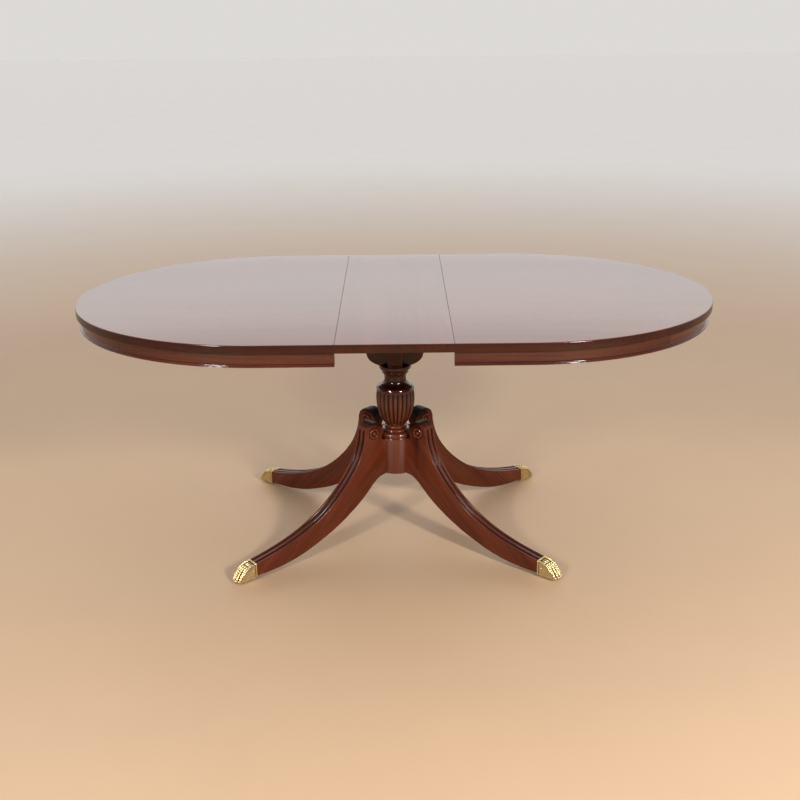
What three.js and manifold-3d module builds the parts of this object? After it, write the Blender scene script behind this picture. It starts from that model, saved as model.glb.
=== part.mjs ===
// Extending oval pedestal dining table in mahogany: two D-shaped ends on geared
// wooden slides, one drop-in leaf, a turned column and four sabre legs with
// cast lion-paw toe caps. Millimetres, +Z up, origin on the floor under the column.

import * as THREE from 'three';
import { mergeVertices } from 'three/addons/utils/BufferGeometryUtils.js';
import Module from 'manifold-3d';

const wasm = await Module();
wasm.setup();

// ---------------------------------------------------------------- driving sizes

const GAP = 0.3;                    // play left between pieces that touch

const TABLE_HEIGHT = 749;
const TABLE_DEPTH = 1066;
const END_LENGTH = 768;             // one D-shaped end, seam to tip
const LEAF_WIDTH = 302;
const TOP_THICKNESS = 23;
const END_STRAIGHT = 195;           // straight run before the end starts to curve

const APRON_BOTTOM = 688;
const APRON_INSET = 13;
const APRON_THICKNESS = 20;
const GLUE_GAP = 0.9;               // wider than GAP, as the facets of the two curves differ
const BEAD_HEIGHT = 7;
const BEAD_PROUD = 5;
const APRON_JOINT_ANGLE = 47.5;      // where the end segment of an apron starts

const RAIL_WIDTH = 22;
const RAIL_LINE = 150;              // distance of a set of slides from the centre line
const RAIL_BOTTOM = 690;
const TONGUE = { width: 5.5, height: 8 };
const GROOVE = { width: 6, height: 8.8 };
const CENTRE_RAIL_HALF = 450;
const MOVING_RAIL = { outer: 800, inner: 240 };

const PINION = { x: 70, teeth: 14, module: 3, bottom: 700.3, top: 711.7 };
const PRESSURE_ANGLE = THREE.MathUtils.degToRad(20);
const ADDENDUM = 0.8;               // in modules
const DEDENDUM = 1.05;              // in modules
const BACKLASH = 0.35;
const RACK = { bottom: 700, top: 712, back: 39, toothStart: -95, toothEnd: 237, far: 420 };

const BEARER_THICKNESS = 41;
const BEARER_BOTTOM = 531.7;
const BEARER_LONG_HALF = 335;
const BEARER_CROSS_HALF = 212;
const CLEAT = { inner: 270, outer: 320, half: 190, thickness: 20 };

const BLOCK_RADIUS = 58;
const BLOCK_TOP = 309;
const BLOCK_BOTTOM = 197;
const ROD_BORE = 6.5;

const LEG_ANGLE = 39.4;             // of each leg from the long axis, degrees
const LEG_WIDTH = 40;
const LEG_ROOT = 40.3;              // inner face of a leg, from the column axis
const LEG_ROOT_BOTTOM = 201.3;
const PLATE_WELL_RADIUS = 53.5;
const NUT_WELL_TOP = 214;
const TOE_JOINT = 531.7;            // where the brass cap starts
const TOE_BOTTOM = 12;
const TOE_TOP = 50;
const SCROLL = { r: 99.5, z: 337, radius: 33.5 };
const TENON = { end: 556, bottom: 17.5, top: 44.5, half: 16 };
const CAP_HALF = 21;
const CAP_END = 597;

const PIN = { radius: 4, proud: 11, buried: 22, offsets: [-380, 380] };
const LOCK = { x: 185, y: -330, reach: 50, length: 62, width: 15, bottom: 719, top: 722 };
const LOCK_STUD_RADIUS = 4;

const HALF_DEPTH = TABLE_DEPTH / 2;
const HALF_LEAF = LEAF_WIDTH / 2;
const TOP_UNDERSIDE = TABLE_HEIGHT - TOP_THICKNESS;
const UNDER_TOP = TOP_UNDERSIDE - GAP;
const BEARER_TOP = RAIL_BOTTOM - GAP;
const SEAM = HALF_LEAF + GAP;

// ---------------------------------------------------------------- finishes

function finish(color, roughness, metalness) {
  return () => new THREE.MeshStandardMaterial({ color, roughness, metalness });
}

const mahogany = finish(0x5a2313, 0.25, 0);
const darkMahogany = finish(0x2c120b, 0.25, 0);
const railWood = finish(0x9a7148, 0.7, 0);
const brass = finish(0xc8a769, 0.35, 1);
const steel = finish(0x8b8d8f, 0.4, 1);
const iron = finish(0x2f2e2d, 0.6, 0.8);

// ---------------------------------------------------------------- solid helpers

function toManifold(geometry) {
  const bare = geometry.clone();
  bare.deleteAttribute('normal');
  bare.deleteAttribute('uv');
  const merged = mergeVertices(bare, 1e-4);
  const mesh = new wasm.Mesh({
    numProp: 3,
    vertProperties: new Float32Array(merged.attributes.position.array),
    triVerts: new Uint32Array(merged.index.array),
  });
  return new wasm.Manifold(mesh);
}

function toGeometry(manifold) {
  const mesh = manifold.getMesh();
  const geometry = new THREE.BufferGeometry();
  geometry.setAttribute('position', new THREE.BufferAttribute(mesh.vertProperties, 3));
  geometry.setIndex(new THREE.BufferAttribute(mesh.triVerts, 1));
  geometry.computeVertexNormals();
  return geometry;
}

function join(...geometries) {
  return toGeometry(geometries.map(toManifold).reduce((all, one) => all.add(one)));
}

function cut(geometry, ...tools) {
  return toGeometry(tools.map(toManifold).reduce((all, one) => all.subtract(one),
    toManifold(geometry)));
}

// Block between two corners.
function block(x0, x1, y0, y1, z0, z1) {
  const box = new THREE.BoxGeometry(x1 - x0, y1 - y0, z1 - z0);
  return box.translate((x0 + x1) / 2, (y0 + y1) / 2, (z0 + z1) / 2);
}

// Upright round bar, with its facets' flats at the stated radius.
function upright(radius, z0, z1, x = 0, y = 0, sides = 16) {
  const bar = new THREE.CylinderGeometry(radius, radius, z1 - z0, sides);
  return bar.rotateX(Math.PI / 2).translate(x, y, (z0 + z1) / 2);
}

// Round bar lying along X.
function lying(radius, x0, x1, y, z, sides = 12) {
  const bar = new THREE.CylinderGeometry(radius, radius, x1 - x0, sides);
  return bar.rotateZ(Math.PI / 2).translate((x0 + x1) / 2, y, z);
}

// Plan outline made into a plate between two heights.
function plate(points, z0, z1) {
  const plan = new THREE.Shape(points);
  return new THREE.ExtrudeGeometry(plan, { depth: z1 - z0, bevelEnabled: false }).translate(0, 0, z0);
}

// Side outline in (x, z) made into a board of the given thickness, centred on y.
function board(outline, thickness, curveSegments = 8) {
  const slab = new THREE.ExtrudeGeometry(outline,
    { depth: thickness, bevelEnabled: false, curveSegments });
  return slab.rotateX(Math.PI / 2).translate(0, thickness / 2, 0);
}

// Turned piece from its (radius, height) profile.
function turned(profile, sides) {
  const points = profile.map(([radius, height]) => new THREE.Vector2(radius, height));
  points.push(points[0].clone());
  return new THREE.LatheGeometry(points, sides).rotateX(Math.PI / 2);
}

// ---------------------------------------------------------------- scene assembly

const table = new THREE.Group();
table.name = 'extending_pedestal_table';

function place(name, geometry, material, turn = 0) {
  const mesh = new THREE.Mesh(geometry, material());
  mesh.name = name;
  mesh.rotation.z = turn;
  table.add(mesh);
  return mesh;
}

// ---------------------------------------------------------------- plan of a D end

const ELLIPSE_HALF = END_LENGTH - END_STRAIGHT;

// Point of the right-hand end's edge at an angle, moved inward by the inset.
function edgePoint(angle, inset) {
  const nx = Math.cos(angle) / ELLIPSE_HALF;
  const ny = Math.sin(angle) / HALF_DEPTH;
  const size = Math.hypot(nx, ny);
  const x = HALF_LEAF + END_STRAIGHT + ELLIPSE_HALF * Math.cos(angle) - inset * nx / size;
  const y = HALF_DEPTH * Math.sin(angle) - inset * ny / size;
  return new THREE.Vector2(x, y);
}

// Edge between two angles in degrees; -90 and 90 also take in the straight run to the seam.
function edgeRun(from, to, inset, step = 4.5) {
  const points = [];
  const count = Math.max(2, Math.ceil((to - from) / step));
  if (from <= -90) points.push(new THREE.Vector2(SEAM, -HALF_DEPTH + inset));
  for (let i = 0; i <= count; i += 1) {
    const degrees = from + (to - from) * i / count;
    points.push(edgePoint(THREE.MathUtils.degToRad(degrees), inset));
  }
  if (to >= 90) points.push(new THREE.Vector2(SEAM, HALF_DEPTH - inset));
  return points;
}

function mirrorX(points, side) {
  return points.map((point) => new THREE.Vector2(point.x * side, point.y));
}

// Curved strip standing between two insets from the edge.
function edgeBand(from, to, outer, inner, z0, z1, side) {
  const outline = [...edgeRun(from, to, outer), ...edgeRun(from, to, inner).reverse()];
  return plate(mirrorX(outline, side), z0, z1);
}

function apron(from, to, side) {
  const inner = APRON_INSET + APRON_THICKNESS;
  const beadTop = APRON_BOTTOM + BEAD_HEIGHT;
  const core = edgeBand(from, to, APRON_INSET, inner, APRON_BOTTOM, UNDER_TOP, side);
  const bead = edgeBand(from, to, APRON_INSET - BEAD_PROUD, inner, APRON_BOTTOM, beadTop, side);
  return join(core, bead);
}

// ---------------------------------------------------------------- table ends

const PIN_HEIGHT = TOP_UNDERSIDE + TOP_THICKNESS / 2;

function endTop(side) {
  const outline = mirrorX(edgeRun(-90, 90, 0), side);
  const holes = PIN.offsets.map((y) => {
    const inner = side * (SEAM - 1);
    const outer = side * (SEAM + PIN.buried + GAP);
    return lying(PIN.radius + GAP, Math.min(inner, outer), Math.max(inner, outer), y, PIN_HEIGHT);
  });
  const pivotHole = upright(2.8, TOP_UNDERSIDE - 1, TOP_UNDERSIDE + 13, side * LOCK.x, LOCK.y, 8);
  return cut(plate(outline, TOP_UNDERSIDE, TABLE_HEIGHT), ...holes, pivotHole);
}

// Moving rail: a bar with a tongue on the face that meets the centre rail.
function movingRail(side, y, tongueSide) {
  const half = RAIL_WIDTH / 2;
  const middle = (RAIL_BOTTOM + UNDER_TOP) / 2;
  const x0 = Math.min(side * MOVING_RAIL.outer, -side * MOVING_RAIL.inner);
  const x1 = Math.max(side * MOVING_RAIL.outer, -side * MOVING_RAIL.inner);
  const bar = block(x0, x1, y - half, y + half, RAIL_BOTTOM, UNDER_TOP);
  const root = y + tongueSide * (half - 1);
  const tip = y + tongueSide * (half + TONGUE.width);
  const tongue = block(x0, x1, Math.min(root, tip), Math.max(root, tip),
    middle - TONGUE.height / 2, middle + TONGUE.height / 2);
  // Clear of the leaf, so that it rests only on the ends of the table top.
  const leafRelief = block(-HALF_LEAF - 6, HALF_LEAF + 6, y - RAIL_WIDTH, y + RAIL_WIDTH,
    UNDER_TOP - 1, UNDER_TOP + 5);
  return cut(join(bar, tongue), leafRelief);
}

function centreRail(y) {
  const half = RAIL_WIDTH / 2 - GAP;
  const middle = (RAIL_BOTTOM + UNDER_TOP) / 2;
  const top = UNDER_TOP - 1;
  const bar = block(-CENTRE_RAIL_HALF, CENTRE_RAIL_HALF, y - half, y + half, RAIL_BOTTOM, top);
  const grooves = [-1, 1].map((way) => {
    const root = y + way * (half - GROOVE.width);
    const mouth = y + way * (half + 1);
    return block(-CENTRE_RAIL_HALF - 1, CENTRE_RAIL_HALF + 1, Math.min(root, mouth),
      Math.max(root, mouth), middle - GROOVE.height / 2, middle + GROOVE.height / 2);
  });
  return cut(bar, ...grooves);
}

// Glue block behind an apron joint.
function apronBlock(side, way) {
  const angle = way * APRON_JOINT_ANGLE;
  const inset = APRON_INSET + APRON_THICKNESS + GLUE_GAP;
  return edgeBand(angle - 3, angle + 3, inset, inset + 24, APRON_BOTTOM + 6, UNDER_TOP, side);
}

for (const [name, side] of [['left', -1], ['right', 1]]) {
  const joint = APRON_JOINT_ANGLE;
  const joinGap = 0.03;             // degrees, about 0.3 mm along the edge
  place(`${name}_top`, endTop(side), mahogany);
  place(`${name}_apron_front`, apron(-90, -joint - joinGap, side), mahogany);
  place(`${name}_apron_end`, apron(-joint, joint, side), mahogany);
  place(`${name}_apron_back`, apron(joint + joinGap, 90, side), mahogany);
  place(`${name}_glue_block_front`, apronBlock(side, -1), railWood);
  place(`${name}_glue_block_back`, apronBlock(side, 1), railWood);
  const offset = RAIL_WIDTH + GAP;
  place(`${name}_rail_back`, movingRail(side, RAIL_LINE - side * offset, side), railWood);
  place(`${name}_rail_front`, movingRail(side, -RAIL_LINE - side * offset, side), railWood);
  PIN.offsets.forEach((y, i) => {
    const inner = side * (SEAM - PIN.proud);
    const outer = side * (SEAM + PIN.buried);
    const pin = lying(PIN.radius, Math.min(inner, outer), Math.max(inner, outer), y, PIN_HEIGHT);
    place(`${name}_leaf_pin_${['front', 'back'][i]}`, pin, brass);
  });
}

// ---------------------------------------------------------------- leaf

function leafTop() {
  const slab = block(-HALF_LEAF, HALF_LEAF, -HALF_DEPTH, HALF_DEPTH, TOP_UNDERSIDE, TABLE_HEIGHT);
  const slots = [];
  for (const side of [-1, 1]) {
    for (const y of PIN.offsets) {
      const deep = side * (HALF_LEAF - PIN.proud - 1);
      const mouth = side * (HALF_LEAF + 1);
      const half = PIN.radius + 0.5;
      slots.push(block(Math.min(deep, mouth), Math.max(deep, mouth), y - half, y + half,
        TOP_UNDERSIDE - 1, PIN_HEIGHT + half));
    }
    slots.push(upright(LOCK_STUD_RADIUS + GAP, TOP_UNDERSIDE - 1, TOP_UNDERSIDE + 12.3,
      side * (LOCK.x - LOCK.reach), LOCK.y, 12));
  }
  return cut(slab, ...slots);
}

place('leaf_top', leafTop(), mahogany);

// ---------------------------------------------------------------- leaf locks

// Lever lying beside the seam; turning it a quarter brings its notch onto the leaf's stud.
function lockLever(side) {
  const half = LOCK.width / 2;
  const { x, y, bottom, top } = LOCK;
  const bar = block(-half, half, -half, LOCK.length, bottom, top);
  const boss = upright(half, bottom, top, 0, 0, 20);
  const notchInner = LOCK_STUD_RADIUS + 1;
  const toSeam = -side;
  const notch = block(toSeam > 0 ? -notchInner : -half - 1, toSeam > 0 ? half + 1 : notchInner,
    LOCK.reach - notchInner, LOCK.reach + notchInner, bottom - 1, top + 1);
  const hole = upright(3, bottom - 1, top + 1, 0, 0, 12);
  const corner = block(-half - 1, half + 1, -half - 1, 0, bottom - 1, top + 1);
  const bare = cut(bar, corner);
  return cut(join(bare, boss), notch, hole).translate(side * x, y, 0);
}

function lockPivot(side) {
  const profile = [[0, 715.5], [5.5, 715.5], [5.5, 718.7], [2.5, 718.7], [2.5, 738], [0, 738]];
  return turned(profile, 12).translate(side * LOCK.x, LOCK.y, 0);
}

for (const [name, side] of [['left', -1], ['right', 1]]) {
  const studX = side * (LOCK.x - LOCK.reach);
  place(`${name}_lock_lever`, lockLever(side), brass);
  place(`${name}_lock_pivot`, lockPivot(side), brass);
  place(`${name}_lock_stud`, upright(LOCK_STUD_RADIUS, 714, 738, studX, LOCK.y, 12), brass);
}

// ---------------------------------------------------------------- equaliser gear

const PITCH_RADIUS = PINION.teeth * PINION.module / 2;
const PITCH = Math.PI * PINION.module;

// Angle swept by an involute of the base circle out to a radius.
function involute(radius, base) {
  const roll = Math.sqrt((radius / base) ** 2 - 1);
  return roll - Math.atan(roll);
}

function pinionGear() {
  const base = PITCH_RADIUS * Math.cos(PRESSURE_ANGLE);
  const tip = PITCH_RADIUS + ADDENDUM * PINION.module;
  const root = PITCH_RADIUS - DEDENDUM * PINION.module;
  const halfTooth = (PITCH / 2 - BACKLASH) / 2 / PITCH_RADIUS;
  const steps = 4;
  const outline = [];
  for (let tooth = 0; tooth < PINION.teeth; tooth += 1) {
    const centre = Math.PI / 2 + tooth * 2 * Math.PI / PINION.teeth;
    const flank = [];
    for (let i = 0; i <= steps; i += 1) {
      const radius = base + (tip - base) * i / steps;
      const half = halfTooth + involute(PITCH_RADIUS, base) - involute(radius, base);
      flank.push([radius, half]);
    }
    flank.unshift([root, flank[0][1]]);
    const rising = flank.map(([radius, half]) => [radius, centre - half]);
    const falling = flank.map(([radius, half]) => [radius, centre + half]).reverse();
    for (const [radius, angle] of [...rising, ...falling]) {
      outline.push(new THREE.Vector2(radius * Math.cos(angle), radius * Math.sin(angle)));
    }
  }
  const wheel = plate(outline, PINION.bottom, PINION.top);
  const hub = upright(10, RAIL_BOTTOM, PINION.bottom + 1, 0, 0, 20);
  const bore = upright(5.3, RAIL_BOTTOM - 1, PINION.top + 1, 0, 0, 20);
  return cut(join(wheel, hub), bore).translate(PINION.x, 0, 0);
}

// Toothed bar screwed under one end; way is the side of the pinion that it runs on.
function rack(way) {
  const slope = Math.tan(PRESSURE_ANGLE);
  const tip = PITCH_RADIUS - ADDENDUM * PINION.module;
  const root = PITCH_RADIUS + DEDENDUM * PINION.module;
  const halfTooth = (PITCH / 2 - BACKLASH) / 2;
  const tipHalf = halfTooth - (PITCH_RADIUS - tip) * slope;
  const rootHalf = halfTooth + (root - PITCH_RADIUS) * slope;
  const farX = -way * RACK.far;
  const firstX = way > 0 ? RACK.toothStart : RACK.toothEnd;
  const lastX = way > 0 ? RACK.toothEnd : RACK.toothStart;
  const centres = [];
  for (let k = -40; k <= 40; k += 1) {
    const centre = PINION.x + (k + 0.5) * PITCH;
    const clear = centre - rootHalf > RACK.toothStart && centre + rootHalf < RACK.toothEnd;
    if (clear) centres.push(centre);
  }
  if (way < 0) centres.reverse();
  const outline = [[farX, RACK.back], [farX, root], [firstX, root]];
  for (const centre of centres) {
    outline.push([centre - way * rootHalf, root], [centre - way * tipHalf, tip]);
    outline.push([centre + way * tipHalf, tip], [centre + way * rootHalf, root]);
  }
  outline.push([lastX, root], [lastX, RACK.back]);
  const points = outline.map(([x, y]) => new THREE.Vector2(x, y * way));
  const bar = plate(points, RACK.bottom, RACK.top);
  const padX = -way * (SEAM + 15);
  const padY0 = Math.min(way * (root + 1), way * RACK.back);
  const padY1 = Math.max(way * (root + 1), way * RACK.back);
  const pad = block(Math.min(farX, padX), Math.max(farX, padX), padY0, padY1,
    RACK.top - 1, UNDER_TOP);
  return join(bar, pad);
}

function pinionScrew() {
  const profile = [[0, 655], [4, 657], [4, BEARER_TOP], [5, BEARER_TOP], [5, 712],
    [9, 712], [9, 715], [7, 716.5], [0, 716.5]];
  return turned(profile, 16).translate(PINION.x, 0, 0);
}

place('left_rack', rack(1), railWood);
place('right_rack', rack(-1), railWood);
place('equaliser_pinion', pinionGear(), steel);
place('pinion_screw', pinionScrew(), steel);

// ---------------------------------------------------------------- slides and bearers

place('centre_rail_back', centreRail(RAIL_LINE), railWood);
place('centre_rail_front', centreRail(-RAIL_LINE), railWood);

// Bearer seen from the side: ogee underside running up to a thin square end.
function bearerOutline(half, endTopZ, stepAt) {
  const outline = new THREE.Shape();
  const throat = [84, 566];
  outline.moveTo(-half, endTopZ);
  outline.lineTo(-half, endTopZ - 22);
  outline.bezierCurveTo(-half * 0.72, endTopZ - 36, -throat[0] - 22, 620, -throat[0], throat[1]);
  outline.bezierCurveTo(-throat[0] + 2, 548, -66, BEARER_BOTTOM + 7, -47, BEARER_BOTTOM);
  outline.lineTo(47, BEARER_BOTTOM);
  outline.bezierCurveTo(66, BEARER_BOTTOM + 7, throat[0] - 2, 548, throat[0], throat[1]);
  outline.bezierCurveTo(throat[0] + 22, 620, half * 0.72, endTopZ - 36, half, endTopZ - 22);
  outline.lineTo(half, endTopZ);
  if (stepAt) {
    outline.lineTo(stepAt, endTopZ);
    outline.lineTo(stepAt, BEARER_TOP);
    outline.lineTo(-stepAt, BEARER_TOP);
    outline.lineTo(-stepAt, endTopZ);
  }
  return outline;
}

const LAP = (BEARER_BOTTOM + BEARER_TOP) / 2;
const LAP_HALF = BEARER_THICKNESS / 2 + GAP;
const rodHole = upright(ROD_BORE, BEARER_BOTTOM - 1, BEARER_TOP + 1);

function bearerLong() {
  const outline = bearerOutline(BEARER_LONG_HALF, BEARER_TOP - CLEAT.thickness - GAP,
    CLEAT.inner - GAP);
  const lap = block(-LAP_HALF, LAP_HALF, -30, 30, BEARER_BOTTOM - 1, LAP + GAP / 2);
  const nutWell = upright(15, 672, BEARER_TOP + 1, 0, 0, 20);
  const pivotHole = upright(4.3, 653, BEARER_TOP + 1, PINION.x, 0, 12);
  return cut(board(outline, BEARER_THICKNESS), lap, rodHole, nutWell, pivotHole);
}

function bearerCross() {
  const lap = block(-LAP_HALF, LAP_HALF, -30, 30, LAP - GAP / 2, BEARER_TOP + 1);
  return cut(board(bearerOutline(BEARER_CROSS_HALF, BEARER_TOP), BEARER_THICKNESS), lap, rodHole);
}

place('bearer_long', bearerLong(), darkMahogany);
place('bearer_cross', bearerCross(), darkMahogany, Math.PI / 2);
for (const [name, side] of [['left', -1], ['right', 1]]) {
  const x0 = Math.min(side * CLEAT.inner, side * CLEAT.outer);
  const x1 = Math.max(side * CLEAT.inner, side * CLEAT.outer);
  const cleat = block(x0, x1, -CLEAT.half, CLEAT.half, BEARER_TOP - CLEAT.thickness, BEARER_TOP);
  place(`${name}_slide_cleat`, cleat, railWood);
}

// ---------------------------------------------------------------- column

const LEG_ANGLES = [LEG_ANGLE, 180 - LEG_ANGLE, 180 + LEG_ANGLE, 360 - LEG_ANGLE]
  .map((degrees) => THREE.MathUtils.degToRad(degrees));
const SCREW_RADIUS = 47;
const COLUMN_PROFILE = [
  [ROD_BORE, 531.4], [46, 531.4], [47.7, 528], [47.7, 521], [45.5, 517.5], [40, 514],
  [37.5, 509.5], [37.5, 505], [34, 501], [32.5, 492], [33.5, 482], [38, 473], [45, 468],
  [51, 465.5], [55.8, 460], [56.6, 455], [58, 441], [58.1, 426], [57.2, 408], [54.2, 390],
  [49.5, 373.5], [43, 360], [36.2, 350], [31, 343.5], [29.5, 340.4], [33, 339.5], [34.3, 336.8],
  [33, 334.1], [38, 333.5], [42.6, 332.6], [44.8, 330], [44.4, 327.2], [42.8, 325.3],
  [49, 324.6], [53.5, 323], [56.4, 319.5], [56.8, 315.5], [55.6, 311.5], [54, BLOCK_TOP],
  [BLOCK_RADIUS - 1.5, BLOCK_TOP], [BLOCK_RADIUS, BLOCK_TOP - 1.5],
  [BLOCK_RADIUS, BLOCK_BOTTOM + 1.5], [BLOCK_RADIUS - 1.5, BLOCK_BOTTOM], [ROD_BORE, BLOCK_BOTTOM],
];

function column() {
  const turning = turned([...COLUMN_PROFILE].reverse(), 40);
  const nutWell = upright(15, BLOCK_BOTTOM - 1, NUT_WELL_TOP, 0, 0, 20);
  const plateWell = upright(PLATE_WELL_RADIUS, BLOCK_BOTTOM - 1, BLOCK_BOTTOM + 4, 0, 0, 32);
  const tools = [nutWell, plateWell];
  for (const angle of LEG_ANGLES) {
    const half = LEG_WIDTH / 2 + GAP;
    const housing = block(LEG_ROOT - GAP, BLOCK_RADIUS + 5, -half, half,
      BLOCK_BOTTOM - 1, BLOCK_TOP);
    tools.push(housing.rotateZ(angle));
  }
  return cut(turning, ...tools);
}

place('column', column(), darkMahogany);

// ---------------------------------------------------------------- legs and toe caps

function legOutline() {
  const outline = new THREE.Shape();
  const v = (r, z) => new THREE.Vector2(r, z);
  const from = THREE.MathUtils.degToRad(-8);
  const to = THREE.MathUtils.degToRad(215);
  const rootTop = BLOCK_TOP - GAP;
  const clearOfPlate = PLATE_WELL_RADIUS + 0.7;
  outline.moveTo(LEG_ROOT, rootTop);
  outline.lineTo(LEG_ROOT, LEG_ROOT_BOTTOM);
  outline.lineTo(clearOfPlate, LEG_ROOT_BOTTOM);
  outline.lineTo(clearOfPlate, BLOCK_BOTTOM + 0.5);
  outline.splineThru([v(72, 195.3), v(86, 190), v(100, 180.5), v(117, 165), v(137, 147),
    v(160, 128.5), v(187, 110.5), v(213, 94.5), v(243, 78.5), v(272, 64.5), v(327, 43),
    v(381, 26.5), v(434, 16.5), v(480, 12.8), v(TOE_JOINT, TOE_BOTTOM)]);
  outline.lineTo(TOE_JOINT, TENON.bottom);
  outline.lineTo(TENON.end, TENON.bottom);
  outline.lineTo(TENON.end, TENON.top);
  outline.lineTo(TOE_JOINT, TENON.top);
  outline.lineTo(TOE_JOINT, TOE_TOP);
  outline.splineThru([v(490, 57.5), v(440, 68.5), v(390, 83), v(340, 102.5), v(290, 129.5),
    v(243, 163.5), v(207, 196.5), v(180, 227), v(161, 254), v(147, 282), v(138, 308),
    v(SCROLL.r + SCROLL.radius * Math.cos(from), SCROLL.z + SCROLL.radius * Math.sin(from))]);
  outline.absarc(SCROLL.r, SCROLL.z, SCROLL.radius, from, to, false);
  outline.quadraticCurveTo(71, rootTop + 1, 64, rootTop);
  return outline;
}

function leg() {
  const toeSide = TENON.half;
  const cheeks = [-1, 1].map((way) => {
    const outer = way * (LEG_WIDTH / 2 + 1);
    const inner = way * toeSide;
    return block(TOE_JOINT, TENON.end + 1, Math.min(inner, outer), Math.max(inner, outer),
      TENON.bottom - 1, TENON.top + 1);
  });
  const screwHole = upright(2.5, LEG_ROOT_BOTTOM - 10, BLOCK_BOTTOM + 59, SCREW_RADIUS, 0, 8);
  return cut(board(legOutline(), LEG_WIDTH, 3), ...cheeks, screwHole);
}

// Cast paw: square socket behind, knuckles and toes in front, flat pad underneath.
function toeCap() {
  const side = new THREE.Shape();
  side.moveTo(TOE_JOINT, TOE_TOP + 0.8);
  side.lineTo(TOE_JOINT, 9);
  side.lineTo(548, 5);
  side.lineTo(560, 0);
  side.lineTo(588, 0);
  side.quadraticCurveTo(CAP_END, 1, CAP_END, 9);
  side.quadraticCurveTo(CAP_END - 1, 18, 589, 22);
  side.quadraticCurveTo(578, 28, 571, 37);
  side.lineTo(556, 47);
  const body = board(side, 2 * CAP_HALF, 4);
  const plan = new THREE.Shape();
  plan.moveTo(TOE_JOINT - 1, -CAP_HALF);
  plan.lineTo(TOE_JOINT - 1, CAP_HALF);
  plan.lineTo(556, CAP_HALF);
  plan.quadraticCurveTo(584, CAP_HALF + 3, CAP_END + 1, 11);
  plan.lineTo(CAP_END + 1, -11);
  plan.quadraticCurveTo(584, -CAP_HALF - 3, 556, -CAP_HALF);
  const footprint = new THREE.ExtrudeGeometry(plan,
    { depth: TOE_TOP + 10, bevelEnabled: false, curveSegments: 5 }).translate(0, 0, -2);
  const paw = toGeometry(toManifold(body).intersect(toManifold(footprint)));
  const socket = block(TOE_JOINT - 1, TENON.end + GAP, -TENON.half - GAP, TENON.half + GAP,
    TENON.bottom - GAP, TENON.top + GAP);
  return cut(paw, socket).translate(GAP, 0, 0);
}

const LEG_NAMES = ['back_right', 'back_left', 'front_left', 'front_right'];

LEG_ANGLES.forEach((angle, i) => {
  place(`${LEG_NAMES[i]}_leg`, leg(), mahogany, angle);
  place(`${LEG_NAMES[i]}_paw_cap`, toeCap(), brass, angle);
});

// ---------------------------------------------------------------- pedestal fixings

function legPlate() {
  const disc = upright(53, BLOCK_BOTTOM + 0.2, BLOCK_BOTTOM + 3.6, 0, 0, 32);
  const centreHole = upright(16, BLOCK_BOTTOM - 1, BLOCK_BOTTOM + 5, 0, 0, 20);
  const screwHoles = LEG_ANGLES.map((angle) =>
    upright(4.7, BLOCK_BOTTOM - 1, BLOCK_BOTTOM + 5, SCREW_RADIUS, 0, 12).rotateZ(angle));
  return cut(disc, centreHole, ...screwHoles);
}

function plateScrew() {
  const profile = [[0, 1.2], [4.2, 1.2], [2.2, 3.8], [2.2, 53], [0, 57]];
  return turned(profile, 8).translate(SCREW_RADIUS, 0, BLOCK_BOTTOM);
}

function washer(z0, z1) {
  return turned([[6.2, z0], [13, z0], [13, z1], [6.2, z1]], 20);
}

function nut(z0, z1) {
  const thread = upright(5.4, z0 - 1, z1 + 1, 0, 0, 16);
  return cut(upright(9.8, z0, z1, 0, 0, 6), thread);
}

place('tie_rod', upright(5, 202, 686, 0, 0, 16), steel);
place('top_washer', washer(672.3, 674.3), steel);
place('top_nut', nut(674.6, 683), steel);
place('bottom_washer', washer(211.4, 213.7), steel);
place('bottom_nut', nut(203, 211.1), steel);
place('leg_plate', legPlate(), iron);
LEG_ANGLES.forEach((angle, i) => {
  place(`${LEG_NAMES[i]}_plate_screw`, plateScrew(), steel, angle);
});

export default table;
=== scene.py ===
"""Looks of an extending mahogany pedestal table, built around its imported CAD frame."""

import math

import bmesh
import bpy
import numpy as np
from mathutils import Matrix, Vector


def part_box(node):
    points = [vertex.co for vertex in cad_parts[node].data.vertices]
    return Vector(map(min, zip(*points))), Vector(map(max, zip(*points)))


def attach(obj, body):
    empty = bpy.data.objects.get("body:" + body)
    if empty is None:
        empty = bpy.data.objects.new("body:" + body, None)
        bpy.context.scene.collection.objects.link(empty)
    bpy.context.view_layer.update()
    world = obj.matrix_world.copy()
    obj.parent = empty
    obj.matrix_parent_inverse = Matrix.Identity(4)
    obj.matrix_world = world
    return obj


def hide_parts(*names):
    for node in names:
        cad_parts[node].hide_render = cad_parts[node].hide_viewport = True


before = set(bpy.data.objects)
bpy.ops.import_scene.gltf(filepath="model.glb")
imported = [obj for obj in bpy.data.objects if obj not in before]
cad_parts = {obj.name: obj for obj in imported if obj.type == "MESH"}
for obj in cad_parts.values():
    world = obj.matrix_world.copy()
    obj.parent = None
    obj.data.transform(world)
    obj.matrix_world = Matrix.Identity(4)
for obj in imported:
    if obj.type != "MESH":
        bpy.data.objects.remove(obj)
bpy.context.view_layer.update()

bl_info = {
    "name": "Pedestal Table Maker",
    "version": (1, 0, 0),
    "blender": (4, 5, 0),
    "location": "3D View > Sidebar > Table",
    "description": "Builds the visible pieces of an extending pedestal table",
    "category": "Object",
}

# ------------------------------------------------------------------ sizes

MM = 0.001
LEAF_LOW, LEAF_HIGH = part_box("leaf_top")
RIGHT_LOW, RIGHT_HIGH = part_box("right_top")
APRON_LOW, APRON_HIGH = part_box("right_apron_end")
PLATE_LOW, PLATE_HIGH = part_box("leg_plate")
LEG_NAMES = ("back_right", "back_left", "front_left", "front_right")
SIDES = (("left", -1), ("right", 1))

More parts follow.
